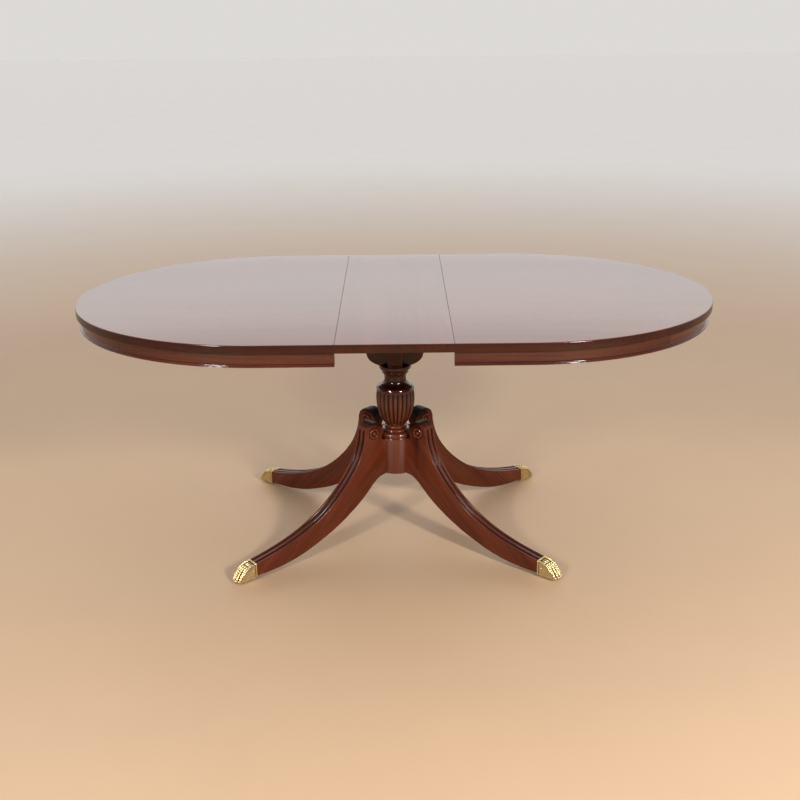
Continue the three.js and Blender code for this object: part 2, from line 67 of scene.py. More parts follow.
HALF_LEAF = LEAF_HIGH.x
HALF_DEPTH = LEAF_HIGH.y
TOP_Z = LEAF_HIGH.z
TOP_UNDER = LEAF_LOW.z
SEAM_X = RIGHT_LOW.x
END_TIP = RIGHT_HIGH.x
END_STRAIGHT = 0.195
ELLIPSE_HALF = END_TIP - HALF_LEAF - END_STRAIGHT
APRON_BOTTOM = APRON_LOW.z
APRON_TOP = APRON_HIGH.z
APRON_JOINT = 47.5
LEG_ANGLE = 39.4
BLOCK_TOP = 0.309
BEARER_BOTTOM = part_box("bearer_long")[0].z
BEARER_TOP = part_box("bearer_long")[1].z
TOE_JOINT = 0.5317
SCROLL_R = 0.0995
SCROLL_Z = 0.337
SCROLL_RADIUS = 0.0335
LEG_HALF = 0.02
SCREW_CIRCLE = 0.047
TENON_HALF = 0.016
TENON_LOW, TENON_HIGH = 0.0175, 0.0385
TENON_END = 0.556
ROD_HOLE = 0.0065
PINION_X = 0.07
LEAF_PIN_Y = 0.38
LOCK_Y = -0.33
PLAY = 0.0003

SHARP_ANGLE = math.radians(35)
CAST_SHARP_ANGLE = math.radians(50)
BOX_FACES = [(0, 1, 3, 2), (4, 6, 7, 5), (0, 4, 5, 1), (2, 3, 7, 6), (0, 2, 6, 4), (1, 5, 7, 3)]


# ------------------------------------------------------------------ settings

class TableShapeSettings(bpy.types.PropertyGroup):
    """Sizes of the carved and moulded detail."""

    top_edge_radius: bpy.props.FloatProperty(
        name="Top edge radius", description="Rounding of the top's upper edge",
        default=0.0028, min=0.0005, max=0.01, unit="LENGTH", subtype="DISTANCE")
    urn_reeds: bpy.props.IntProperty(
        name="Urn reeds", description="Number of reeds round the urn", default=24, min=8, max=48)
    urn_reed_depth: bpy.props.FloatProperty(
        name="Urn reed depth", description="Depth of the valleys between the urn's reeds",
        default=0.0034, min=0, max=0.006, unit="LENGTH", subtype="DISTANCE")
    leg_flute_depth: bpy.props.FloatProperty(
        name="Leg flute depth", description="Depth of the flutes along the legs",
        default=0.0034, min=0, max=0.005, unit="LENGTH", subtype="DISTANCE")
    arris: bpy.props.FloatProperty(
        name="Arris", description="Rounding of sawn edges",
        default=0.0006, min=0.0001, max=0.003, unit="LENGTH", subtype="DISTANCE")


class TableFinishSettings(bpy.types.PropertyGroup):
    """Colours and gloss of the finishes."""

    mahogany_dark: bpy.props.FloatVectorProperty(
        name="Mahogany dark", description="Darkest colour of the lacquered mahogany",
        default=(0.045, 0.0075, 0.0024), min=0, max=1, subtype="COLOR")
    mahogany_light: bpy.props.FloatVectorProperty(
        name="Mahogany light", description="Lightest colour of the lacquered mahogany",
        default=(0.195, 0.042, 0.015), min=0, max=1, subtype="COLOR")
    slide_wood: bpy.props.FloatVectorProperty(
        name="Slide wood", description="Colour of the bare wood of the slides",
        default=(0.42, 0.26, 0.13), min=0, max=1, subtype="COLOR")
    brass: bpy.props.FloatVectorProperty(
        name="Brass", description="Colour of the cast brass",
        default=(0.62, 0.49, 0.25), min=0, max=1, subtype="COLOR")
    lacquer_roughness: bpy.props.FloatProperty(
        name="Lacquer roughness", description="Roughness of the clear lacquer",
        default=0.07, min=0, max=1)


class TableStageSettings(bpy.types.PropertyGroup):
    """Floor, lights and camera."""

    floor_colour: bpy.props.FloatVectorProperty(
        name="Floor colour", description="Colour of the plain floor under the table",
        default=(0.55, 0.375, 0.235), min=0, max=1, subtype="COLOR")
    far_floor_colour: bpy.props.FloatVectorProperty(
        name="Far floor colour", description="Colour of the floor well away from the table",
        default=(0.90, 0.88, 0.86), min=0, max=1, subtype="COLOR")
    backdrop_colour: bpy.props.FloatVectorProperty(
        name="Backdrop colour", description="Plain colour behind everything",
        default=(0.72, 0.70, 0.68), min=0, max=1, subtype="COLOR")
    wall_low: bpy.props.FloatProperty(
        name="Wall light, low", description="Brightness of the wall light near the floor",
        default=0.95, min=0)
    wall_high: bpy.props.FloatProperty(
        name="Wall light, high", description="Brightness of the wall light higher up",
        default=1.7, min=0)
    room_low: bpy.props.FloatProperty(
        name="Room light, low", description="Brightness of the room in front near the floor",
        default=0.06, min=0)
    room_high: bpy.props.FloatProperty(
        name="Room light, high", description="Brightness of the room overhead",
        default=0.45, min=0)
    key_left_power: bpy.props.FloatProperty(
        name="Left key light", description="Power of the soft light at the front left, in watts",
        default=65.6, min=0)
    key_right_power: bpy.props.FloatProperty(
        name="Right key light", description="Power of the soft light at the front right, in watts",
        default=106.6, min=0)
    glint_power: bpy.props.FloatProperty(
        name="Glint lights", description="Power of each light that only shows as a glint, in watts",
        default=106.6, min=0)
    focal_length: bpy.props.FloatProperty(
        name="Focal length", description="Focal length of the lens in millimetres",
        default=51.83, min=10, max=300)
    camera_place: bpy.props.FloatVectorProperty(
        name="Camera place", description="Where the camera stands",
        default=(0.0069, -3.2909, 1.5667), unit="LENGTH", subtype="TRANSLATION")
    camera_pitch: bpy.props.FloatProperty(
        name="Camera pitch", description="How far the camera looks down",
        default=math.radians(19.28), unit="ROTATION", subtype="ANGLE")
    camera_yaw: bpy.props.FloatProperty(
        name="Camera yaw", description="How far the camera is turned to the right",
        default=math.radians(0.12), unit="ROTATION", subtype="ANGLE")
    camera_roll: bpy.props.FloatProperty(
        name="Camera roll", description="How far the camera leans",
        default=math.radians(-0.59), unit="ROTATION", subtype="ANGLE")


def shape():
    return bpy.context.scene.table_shape


def finishes():
    return bpy.context.scene.table_finish


# ------------------------------------------------------------------ shader helpers

def add_node(tree, kind, inputs=None, **settings):
    """Adds a node, sets its fields, and sets or links its inputs."""
    node = tree.nodes.new(kind)
    for field, value in settings.items():
        setattr(node, field, value)
    for key, value in (inputs or {}).items():
        socket = node.inputs[key]
        if isinstance(value, bpy.types.NodeSocket):
            tree.links.new(value, socket)
        else:
            socket.default_value = value
    return node


def start_material(name):
    """A new material with its tree cleared, its shader and its output."""
    material = bpy.data.materials.new(name)
    material.use_nodes = True
    tree = material.node_tree
    tree.nodes.clear()
    shader = add_node(tree, "ShaderNodeBsdfPrincipled")
    add_node(tree, "ShaderNodeOutputMaterial", {"Surface": shader.outputs[0]})
    return material, tree, shader


def colour4(colour):
    return (*colour[:3], 1.0)


def noise_at(tree, coords, scale, detail=3.0, roughness=0.55):
    """Noise of coordinates that were first stretched by the three scale numbers."""
    mapping = add_node(tree, "ShaderNodeMapping", {"Vector": coords, "Scale": scale})
    texture = add_node(tree, "ShaderNodeTexNoise", {
        "Vector": mapping.outputs[0], "Scale": 1.0, "Detail": detail, "Roughness": roughness})
    return texture.outputs["Fac"]


def remap(tree, value, low, high, to_low, to_high):
    node = add_node(tree, "ShaderNodeMapRange", {
        "Value": value, "From Min": low, "From Max": high, "To Min": to_low, "To Max": to_high})
    return node.outputs["Result"]


def mix_colour(tree, factor, first, second, blend="MIX"):
    node = add_node(tree, "ShaderNodeMix", data_type="RGBA", blend_type=blend)
    for socket, value in ((node.inputs[0], factor), (node.inputs[6], first), (node.inputs[7], second)):
        if isinstance(value, bpy.types.NodeSocket):
            tree.links.new(value, socket)
        else:
            socket.default_value = value
    return node.outputs[2]


def maths(tree, operation, first, second=0.0):
    node = add_node(tree, "ShaderNodeMath", {0: first, 1: second}, operation=operation)
    return node.outputs[0]


def bump(tree, height, distance, strength=1.0, normal=None):
    inputs = {"Height": height, "Distance": distance, "Strength": strength}
    if normal is not None:
        inputs["Normal"] = normal
    return add_node(tree, "ShaderNodeBump", inputs).outputs[0]


def grain_coordinates(tree, along):
    """Coordinates whose first axis runs along the grain."""
    if along == "attribute":
        return add_node(tree, "ShaderNodeAttribute", attribute_name="grain").outputs["Vector"]
    coords = add_node(tree, "ShaderNodeTexCoord").outputs["Object"]
    turn = {"x": (0, 0, 0), "y": (0, 0, math.pi / 2)}[along]
    return add_node(tree, "ShaderNodeMapping", {"Vector": coords, "Rotation": turn}).outputs[0]


# ------------------------------------------------------------------ finishes

def mahogany(name, painted_shade=0.0, coat=0.6, figure=1.0):
    """Lacquered mahogany: ribbon figure, pores, painted shade (a darker copy for shaded pieces, and
    darker hollows) and a clear gloss coat.
    """
    finish = finishes()
    material, tree, shader = start_material(name)
    coords = grain_coordinates(tree, "attribute")
    bend = noise_at(tree, coords, (1.1, 3.0, 3.0), 2.0)
    shift = add_node(tree, "ShaderNodeVectorMath", {0: coords}, operation="ADD")
    lift = add_node(tree, "ShaderNodeCombineXYZ", {"Y": maths(tree, "MULTIPLY", bend, 0.05)})
    tree.links.new(lift.outputs[0], shift.inputs[1])
    bent = shift.outputs[0]
    broad = noise_at(tree, bent, (1.3, 16.0, 16.0), 3.0)
    ribbon = noise_at(tree, bent, (4.0, 150.0, 150.0), 4.0, 0.6)
    fibre = noise_at(tree, bent, (35.0, 1100.0, 1100.0), 2.0)
    pores = remap(tree, noise_at(tree, bent, (90.0, 2300.0, 2300.0), 1.0), 0.60, 0.70, 0.0, 1.0)
    tone = maths(tree, "ADD", maths(tree, "MULTIPLY", broad, 0.55),
                 maths(tree, "MULTIPLY", ribbon, 0.45))
    tone = remap(tree, tone, 0.5 - 0.22 / figure, 0.5 + 0.22 / figure, 0.0, 1.0)
    # Painted shade: pieces that stand in shade take a darker copy of the same mahogany colours.
    dark = [c * (1 - 0.75 * painted_shade) for c in finish.mahogany_dark]
    light = [c * (1 - 0.75 * painted_shade) for c in finish.mahogany_light]
    wood = mix_colour(tree, tone, colour4(dark), colour4(light))
    fleck = maths(tree, "MULTIPLY", remap(tree, fibre, 0.35, 0.65, 0.0, 1.0), 0.25)
    wood = mix_colour(tree, fleck, wood, colour4(dark))
    wood = mix_colour(tree, maths(tree, "MULTIPLY", pores, 0.55), wood,
                      colour4([c * 0.4 for c in dark]))
    # Painted shade: the hollow value darkens the wood to near black and thins the coat, for the shade in
    # flutes, reed valleys, grooves, the neck and the scroll tops.
    hollow = add_node(tree, "ShaderNodeAttribute", attribute_name="hollow").outputs["Fac"]
    wood = mix_colour(tree, maths(tree, "MULTIPLY", hollow, 0.92), wood,
                      colour4([c * 0.12 for c in dark]))
    tree.links.new(wood, shader.inputs["Base Color"])
    tree.links.new(remap(tree, ribbon, 0.3, 0.7, 0.36, 0.5), shader.inputs["Roughness"])
    relief = bump(tree, pores, 0.00004, 0.4)
    peel = noise_at(tree, coords, (140.0, 140.0, 140.0), 2.0)
    lacquer = bump(tree, peel, 0.00006, 0.35, relief)
    tree.links.new(relief, shader.inputs["Normal"])
    tree.links.new(lacquer, shader.inputs["Coat Normal"])
    shader.inputs["Specular IOR Level"].default_value = 0.04
    tree.links.new(remap(tree, hollow, 0.0, 1.0, coat, coat * 0.1), shader.inputs["Coat Weight"])
    shader.inputs["Coat Roughness"].default_value = finish.lacquer_roughness
    shader.inputs["Coat IOR"].default_value = 1.5
    return material


def slide_wood(name, along, tint=1.0):
    """Bare planed hardwood, waxed where it slides."""
    material, tree, shader = start_material(name)
    coords = grain_coordinates(tree, along)
    base = [c * tint for c in finishes().slide_wood]
    rings = noise_at(tree, coords, (1.5, 60.0, 60.0), 4.0)
    fibre = noise_at(tree, coords, (25.0, 900.0, 900.0), 3.0)
    grime = noise_at(tree, coords, (6.0, 6.0, 6.0), 4.0)
    wood = mix_colour(tree, remap(tree, rings, 0.3, 0.7, 0.0, 1.0),
                      colour4([c * 0.62 for c in base]), colour4(base))
    wood = mix_colour(tree, remap(tree, fibre, 0.4, 0.75, 0.0, 0.5), wood,
                      colour4([c * 0.4 for c in base]))
    wood = mix_colour(tree, remap(tree, grime, 0.5, 0.8, 0.0, 0.45), wood,
                      colour4([c * 0.45 for c in base]))
    tree.links.new(wood, shader.inputs["Base Color"])
    tree.links.new(remap(tree, fibre, 0.3, 0.7, 0.48, 0.66), shader.inputs["Roughness"])
    tree.links.new(bump(tree, fibre, 0.0001, 0.5), shader.inputs["Normal"])
    return material


def metal(name, colour, low, high, patina, grain_size=300.0, recess=0.0):
    """Metal with uneven polish, a fine surface and a darker colour in its hollows."""
    material, tree, shader = start_material(name)
    coords = add_node(tree, "ShaderNodeTexCoord").outputs["Object"]
    cloud = noise_at(tree, coords, (45.0, 45.0, 45.0), 4.0)
    fine = noise_at(tree, coords, (grain_size,) * 3, 3.0)
    tarnish = remap(tree, cloud, 0.45, 0.75, 0.0, patina)
    surface = mix_colour(tree, tarnish, colour4(colour), colour4([c * 0.45 for c in colour]))
    if recess:
        # Darker colour in the hollows, by how deep they lie.
        hollow = add_node(tree, "ShaderNodeAttribute", attribute_name="hollow").outputs["Fac"]
        hollow_darkening = maths(tree, "MULTIPLY", hollow, recess)
        surface = mix_colour(tree, hollow_darkening, surface, colour4([0.10, 0.065, 0.018]))
    tree.links.new(surface, shader.inputs["Base Color"])
    shader.inputs["Metallic"].default_value = 1.0
    tree.links.new(remap(tree, cloud, 0.3, 0.7, low, high), shader.inputs["Roughness"])
    tree.links.new(bump(tree, fine, 0.00012, 0.5), shader.inputs["Normal"])
    return material


MATERIALS = {}


def material(name):
    """The named finish, made when it is first asked for."""
    # The first number after each name is painted shade: edge, apron, bearer and column are darker copies
    # of one mahogany, for the shade they stand in.
    makers = {
        "top mahogany": lambda: mahogany("top mahogany", 0.0, 1.0, 0.75),
        "edge mahogany": lambda: mahogany("edge mahogany", 0.9, 0.5, 0.8),
        "apron mahogany": lambda: mahogany("apron mahogany", 0.45, 0.9, 1.0),
        "leg mahogany": lambda: mahogany("leg mahogany", 0.0, 0.45, 1.0),
        "column mahogany": lambda: mahogany("column mahogany", 0.1, 1.0, 0.8),
        "bearer mahogany": lambda: mahogany("bearer mahogany", 0.8, 0.5, 0.8),
        "slide wood": lambda: slide_wood("slide wood", "x"),
        "cleat wood": lambda: slide_wood("cleat wood", "y", 0.85),
        "rack wood": lambda: slide_wood("rack wood", "x", 0.7),
        "block wood": lambda: slide_wood("block wood", "y", 1.1),
        "brass": lambda: metal("brass", finishes().brass, 0.30, 0.46, 0.7, 700.0, 1.0),
        "steel": lambda: metal("steel", (0.55, 0.56, 0.57), 0.3, 0.45, 0.4, 900.0),
        "black iron": lambda: metal("black iron", (0.07, 0.066, 0.062), 0.5, 0.7, 0.5, 500.0),
    }
    if name not in MATERIALS:
        MATERIALS[name] = makers[name]()
    return MATERIALS[name]


# ------------------------------------------------------------------ mesh helpers

def mesh_piece(name, verts, faces, material_name, grain=None, hollow=None):
    """A smooth-shaded mesh object; grain and hollow are stored for its finish, hollow being the amount
    of painted shade.
    """
    mesh = bpy.data.meshes.new(name)
    mesh.from_pydata([tuple(v) for v in verts], [], faces)
    mesh.validate()
    mesh.shade_smooth()
    mesh.set_sharp_from_angle(angle=SHARP_ANGLE)
    if grain is not None:
        attribute = mesh.attributes.new("grain", "FLOAT_VECTOR", "POINT")
        attribute.data.foreach_set("vector", [c for v in grain for c in v])
    if hollow is not None:
        mesh.attributes.new("hollow", "FLOAT", "POINT").data.foreach_set("value", hollow)
    mesh.materials.append(material(material_name))
    piece = bpy.data.objects.new(name, mesh)
    bpy.context.scene.collection.objects.link(piece)
    return piece


def fix_faces(piece):
    """Turns every face outward."""
    work = bmesh.new()
    work.from_mesh(piece.data)
    bmesh.ops.recalc_face_normals(work, faces=work.faces)
    work.to_mesh(piece.data)
    work.free()
    piece.data.set_sharp_from_angle(angle=SHARP_ANGLE)
    return piece


def stand_for(piece, body, slot, *nodes):
    """The piece rides on the body and replaces the CAD nodes; the slot is not used."""
    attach(piece, body)
    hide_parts(*nodes)
    return piece


def loops_to_faces(count, size, closed=False):
    """Quads between consecutive rings of the same size."""
    faces = []
    last = count if closed else count - 1
    for i in range(last):
        a, b = i * size, ((i + 1) % count) * size
        for j in range(size):
            k = (j + 1) % size
            faces.append((a + j, a + k, b + k, b + j))
    return faces


def capped_loops(count, size):
    """Quads between consecutive rings, with a face over the first ring and the last."""
    faces = loops_to_faces(count, size)
    faces.append(tuple(range(size)))
    faces.append(tuple(reversed(range((count - 1) * size, count * size))))
    return faces


def in_metres(points):
    """(radius, height) pairs in metres, from pairs in millimetres."""
    return [(r * MM, z * MM) for r, z in points]


def smooth_run(points, steps):
    """Points on a smooth curve through the given ones."""
    out = []
    last = len(points) - 1
    for i in range(last):
        p0, p1 = points[max(i - 1, 0)], points[i]
        p2, p3 = points[i + 1], points[min(i + 2, last)]
        for s in range(steps):
            t = s / steps
            out.append(tuple(
                0.5 * (2 * b + (c - a) * t + (2 * a - 5 * b + 4 * c - d) * t * t
                       + (3 * b - a - 3 * c + d) * t ** 3)
                for a, b, c, d in zip(p0, p1, p2, p3)))
    out.append(tuple(points[last]))
    return out


def turned(name, profile, segments, material_name, ripple=None, depth=1.0, shade=None):
    """Turned piece from a closed (radius, height) profile.

    Ripple changes the radius with height and angle; shade darkens the finish by height.
    """
    verts = []
    grain = []
    hollow = []
    for radius, height in profile:
        for j in range(segments):
            angle = 2 * math.pi * j / segments
            sunk = ripple(height, angle) if ripple else 0.0
            x, y = (radius + sunk) * math.cos(angle), (radius + sunk) * math.sin(angle)
            verts.append((x, y, height))
            grain.append((height, x, y))
            # Painted shade: darker in the ripple's valleys and at the heights that shade picks.
            hollow.append(min(1.0, max(abs(sunk) / depth, shade(height) if shade else 0.0)))
    faces = loops_to_faces(len(profile), segments, closed=True)
    return fix_faces(mesh_piece(name, verts, faces, material_name, grain, hollow))


def turned_solid(name, profile, segments, material_name, axis="z", centre=(0, 0, 0)):
    """Turned piece whose open profile starts and ends on its axis."""
    verts = []
    for radius, height in profile[1:-1]:
        for j in range(segments):
            angle = 2 * math.pi * j / segments
            verts.append((radius * math.cos(angle), radius * math.sin(angle), height))
    rings = len(profile) - 2
    faces = loops_to_faces(rings, segments)
    verts.append((0, 0, profile[0][1]))
    verts.append((0, 0, profile[-1][1]))
    first, last = len(verts) - 2, len(verts) - 1
    for j in range(segments):
        k = (j + 1) % segments
        faces.append((first, k, j))
        faces.append((last, (rings - 1) * segments + j, (rings - 1) * segments + k))
    if axis == "x":
        verts = [(z, x, y) for x, y, z in verts]
    moved = [tuple(c + o for c, o in zip(v, centre)) for v in verts]
    grain = [(v[2], v[0], v[1]) for v in moved]
    return fix_faces(mesh_piece(name, moved, faces, material_name, grain))


def cut_away(piece, cutters):
    """Cuts the cutters' shapes out of the piece."""
    for cutter in cutters:
        modifier = piece.modifiers.new("cut", "BOOLEAN")
        modifier.operation = "DIFFERENCE"
        modifier.solver = "EXACT"
        modifier.object = cutter
    graph = bpy.context.evaluated_depsgraph_get()
    graph.update()
    made = bpy.data.meshes.new_from_object(piece.evaluated_get(graph))
    piece.modifiers.clear()
    piece.data = made
    for cutter in cutters:
        bpy.data.objects.remove(cutter)
    piece.data.set_sharp_from_angle(angle=SHARP_ANGLE)
    return piece


def block_cutter(x0, x1, y0, y1, z0, z1, turn=0.0):
    """Box between the given limits, turned about the upright axis, to cut with."""
    corners = [(x, y, z) for x in (x0, x1) for y in (y0, y1) for z in (z0, z1)]
    verts = [Matrix.Rotation(turn, 4, "Z") @ Vector(c) for c in corners]
    return fix_faces(mesh_piece("cutter", verts, BOX_FACES, "steel"))


def rod_cutter(radius, z0, z1, x=0.0, y=0.0):
    """Upright rod to cut with."""
    profile = [(0, z0), (radius, z0), (radius, z1), (0, z1)]
    return turned_solid("cutter", profile, 32, "steel", "z", (x, y, 0))


# ------------------------------------------------------------------ plan of a D end

def edge_point(angle, inset):
    """Point of the right-hand end's edge at an angle, moved inward by the inset."""
    nx = math.cos(angle) / ELLIPSE_HALF
    ny = math.sin(angle) / HALF_DEPTH
    size = math.hypot(nx, ny)
    x = HALF_LEAF + END_STRAIGHT + ELLIPSE_HALF * math.cos(angle) - inset * nx / size
    y = HALF_DEPTH * math.sin(angle) - inset * ny / size
    return x, y


def edge_run(start, end, inset, seam_inset=0.0, step=1.0):
    """Edge between two angles in degrees; -90 and 90 also take in the run to the seam."""
    points = []
    count = max(2, math.ceil((end - start) / step))
    if start <= -90:
        points.append((SEAM_X + seam_inset, -HALF_DEPTH + inset))
    for i in range(count + 1):
        points.append(edge_point(math.radians(start + (end - start) * i / count), inset))
    if end >= 90:
        points.append((SEAM_X + seam_inset, HALF_DEPTH - inset))
    return points


def rounded_edge(top, bottom, top_radius, bottom_radius, steps=5):
    """(inset, height) pairs down a slab's edge with both arrises rounded."""
    pairs = []
    for i in range(steps + 1):
        a = math.pi / 2 * i / steps
        pairs.append((top_radius * (1 - math.sin(a)), top - top_radius * (1 - math.cos(a))))
    for i in range(steps + 1):
        a = math.pi / 2 * i / steps
        pairs.append((bottom_radius * (1 - math.cos(a)), bottom + bottom_radius * (1 - math.sin(a))))
    return pairs


def slab(name, outline, pairs, grain_way, seed):
    """Flat slab from a plan outline that is inset by each (inset, height) pair."""
    verts = []
    for inset, height in pairs:
        verts += [(x, y, height) for x, y in outline(inset)]
    faces = capped_loops(len(pairs), len(outline(0.0)))
    if grain_way == "x":
        grain = [(x + seed, y + seed, z) for x, y, z in verts]
    else:
        grain = [(y + seed, x + seed, z) for x, y, z in verts]
    piece = fix_faces(mesh_piece(name, verts, faces, "top mahogany", grain))
    piece.data.materials.append(material("edge mahogany"))
    # Painted shade: every face but the upward ones takes the darker edge mahogany.
    for face in piece.data.polygons:
        face.material_index = 0 if face.normal.z > 0.5 else 1
    return piece


UNDER_EDGE_RADIUS = 0.0016
SEAM_EASE = 0.0004


def leaf_pin_holes():
    """Cutters for the leaf's four pin holes, open at the bottom and at the seam."""
    depth, half, top = 0.012, 0.0045, 0.742
    over = 0.001
    cutters = []
    for side in (-1, 1):
        for y in (-LEAF_PIN_Y, LEAF_PIN_Y):
            near, far = sorted((side * (HALF_LEAF - depth), side * (HALF_LEAF + over)))
            cutters.append(block_cutter(near, far, y - half, y + half, TOP_UNDER - over, top))
    return cutters


def make_tops():
    pairs = rounded_edge(TOP_Z, TOP_UNDER, shape().top_edge_radius, UNDER_EDGE_RADIUS)
    for i, (name, side) in enumerate(SIDES):
        def outline(inset, side=side):
            points = edge_run(-90, 90, inset, min(inset, SEAM_EASE))
            return [(x * side, y) for x, y in points]
        piece = slab(f"{name}_table_end", outline, pairs, "x", 3.1 * i)
        stand_for(piece, f"{name}_end", "mahogany", f"{name}_top")

    def leaf_outline(inset):
        x = HALF_LEAF - min(inset, SEAM_EASE)
        y = HALF_DEPTH - inset
        return [(-x, -y), (x, -y), (x, y), (-x, y)]
    piece = slab("drop_in_leaf", leaf_outline, pairs, "y", 7.7)
    cut_away(piece, leaf_pin_holes())
    stand_for(piece, "leaf", "mahogany", "leaf_top")


# ------------------------------------------------------------------ aprons

def apron_section():
    """(inset, height) outline of an apron with its step and two fine reeds."""
    top, bottom = APRON_TOP, APRON_BOTTOM
    face, proud, back = 0.013, 0.008, 0.033
    reed, reed_half = 0.0012, 0.0016
    points = [(face, top), (face, bottom + 0.0092), (face - 0.0006, bottom + 0.0084)]
    points += [(proud + 0.0018, bottom + 0.0079), (proud + reed, bottom + 0.0074)]
    for middle in (0.0056, 0.0019):
        for i in range(7):
            a = math.pi / 2 - math.pi * i / 6
            points.append((proud + reed - reed * math.cos(a), bottom + middle + reed_half * math.sin(a)))
    points += [(proud + 0.0016, bottom), (back, bottom), (back, top)]
    return points


APRON_GAP = 0.11
APRON_SPANS = (("front", -90, -APRON_JOINT - APRON_GAP), ("end", -APRON_JOINT, APRON_JOINT),
               ("back", APRON_JOINT + APRON_GAP, 90))


def apron_mesh(section, side, start, end):
    """Apron section swept along the edge between two angles, with its grain along the sweep."""
    runs = [edge_run(start, end, inset) for inset, height in section]
    count = len(runs[0])
    verts = []
    grain = []
    length = 0.0
    for i in range(count):
        if i:
            length += math.dist(runs[0][i], runs[0][i - 1])
        for (inset, height), run in zip(section, runs):
            x, y = run[i]
            verts.append((x * side, y, height))
            grain.append((length + start * 0.1 + side, height + 2.0, inset))
    return verts, capped_loops(count, len(section)), grain


def make_aprons():
    section = apron_section()
    for name, side in SIDES:
        for place, start, end in APRON_SPANS:
            verts, faces, grain = apron_mesh(section, side, start, end)
            piece = mesh_piece(f"{name}_{place}_apron", verts, faces, "apron mahogany", grain)
            stand_for(fix_faces(piece), f"{name}_end", "mahogany", f"{name}_apron_{place}")


# ------------------------------------------------------------------ shaped boards

def outward_normals(outline):
    """Normals of a closed outline that runs anticlockwise."""
    count = len(outline)
    area = sum(outline[i][0] * outline[(i + 1) % count][1]
               - outline[(i + 1) % count][0] * outline[i][1] for i in range(count))
    way = 1 if area > 0 else -1
    normals = []
    for i in range(count):
        ax, az = outline[i - 1][:2]
        bx, bz = outline[(i + 1) % count][:2]
        dx, dz = bx - ax, bz - az
        size = math.hypot(dx, dz) or 1.0
        normals.append((way * dz / size, -way * dx / size))
    return normals


def edge_drop(y, half, radius):
    """How far a rounded arris falls away at a distance y from the middle."""
    over = abs(y) - (half - radius)
    if over <= 0:
        return 0.0
    return radius - math.sqrt(max(radius * radius - over * over, 0.0))


def shaped_board(outline, columns, depth):
    """Board from a side outline; depth(i, y) sinks its surface below the outline."""
    normals = outward_normals(outline)
    verts = []
    for y in columns:
        for i, (point, normal) in enumerate(zip(outline, normals)):
            d = depth(i, y)
            verts.append((point[0] - normal[0] * d, y, point[1] - normal[1] * d))
    return verts, capped_loops(len(columns), len(outline))


def board_columns(half, radius, steps=4):
    """Places across a board's thickness, closer together at its rounded arrises."""
    edge = [half - radius + radius * math.sin(math.pi / 2 * i / steps) for i in range(steps + 1)]
    return [-y for y in reversed(edge)] + edge


# ------------------------------------------------------------------ bearers

BEARER_HALF = 0.0205
BEARER_ARRIS = 0.0025
LAP_PLAY = 0.00015


def bezier(p0, p1, p2, p3, steps):
    """Points along a curve from p0 towards p3, without its last point."""
    out = []
    for i in range(steps):
        t = i / steps
        out.append(tuple((1 - t) ** 3 * a + 3 * (1 - t) ** 2 * t * b + 3 * (1 - t) * t * t * c
                         + t ** 3 * d for a, b, c, d in zip(p0, p1, p2, p3)))
    return out


def bearer_outline(half, end_top, step_at=None):
    """Ogee underside running up to a thin square end."""
    throat_x, throat_z = 0.084, 0.566
    foot_x = 0.047
    right = bezier((foot_x, BEARER_BOTTOM), (0.066, BEARER_BOTTOM + 0.007),
                   (throat_x - 0.002, 0.548), (throat_x, throat_z), 16)
    right += bezier((throat_x, throat_z), (throat_x + 0.022, 0.620),
                    (half * 0.72, end_top - 0.036), (half, end_top - 0.022), 24)
    right += [(half, end_top - 0.022), (half, end_top)]
    if step_at:
        right += [(step_at, end_top), (step_at, BEARER_TOP)]
    left = [(-x, z) for x, z in reversed(right)]
    return right + left


def bearer_holes(stepped):
    """Cutters for the tie rod and, in the long bearer, for its nut and the pinion's screw."""
    over = 0.001
    cutters = [rod_cutter(ROD_HOLE, BEARER_BOTTOM - over, BEARER_TOP + over)]
    if stepped:
        nut_floor, nut_hole = 0.672, 0.015
        screw_floor, screw_hole = 0.653, 0.0043
        cutters.append(rod_cutter(nut_hole, nut_floor, BEARER_TOP + over))
        cutters.append(rod_cutter(screw_hole, screw_floor, BEARER_TOP + over, PINION_X))
    return cutters


def make_bearers():
    columns = board_columns(BEARER_HALF, BEARER_ARRIS)
    lap = (BEARER_BOTTOM + BEARER_TOP) / 2
    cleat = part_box("right_slide_cleat")[0]
    plans = (
        ("long_bearer", "bearer_long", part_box("bearer_long")[1].x, cleat.z - PLAY, cleat.x - PLAY, 0.0,
         (BEARER_BOTTOM - 0.001, lap + LAP_PLAY)),
        ("cross_bearer", "bearer_cross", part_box("bearer_cross")[1].y, BEARER_TOP, None, math.pi / 2,
         (lap - LAP_PLAY, BEARER_TOP + 0.001)),
    )
    for name, node, reach, end_top, step_at, turn, notch in plans:
        outline = bearer_outline(reach, end_top, step_at)
        verts, faces = shaped_board(outline, columns,
                                    lambda i, y: edge_drop(y, BEARER_HALF, BEARER_ARRIS))
        grain = [(x + turn, z, y) for x, y, z in verts]
        piece = fix_faces(mesh_piece(name, verts, faces, "bearer mahogany", grain))
        lap_cut = block_cutter(-BEARER_HALF - PLAY, BEARER_HALF + PLAY, -0.03, 0.03, *notch)
        cut_away(piece, [lap_cut] + bearer_holes(step_at is not None))
        piece.data.transform(Matrix.Rotation(turn, 4, "Z"))
        stand_for(piece, "pedestal", "dark_mahogany", node)


# ------------------------------------------------------------------ column

URN_BOTTOM = 0.3425
URN_TOP = 0.4532


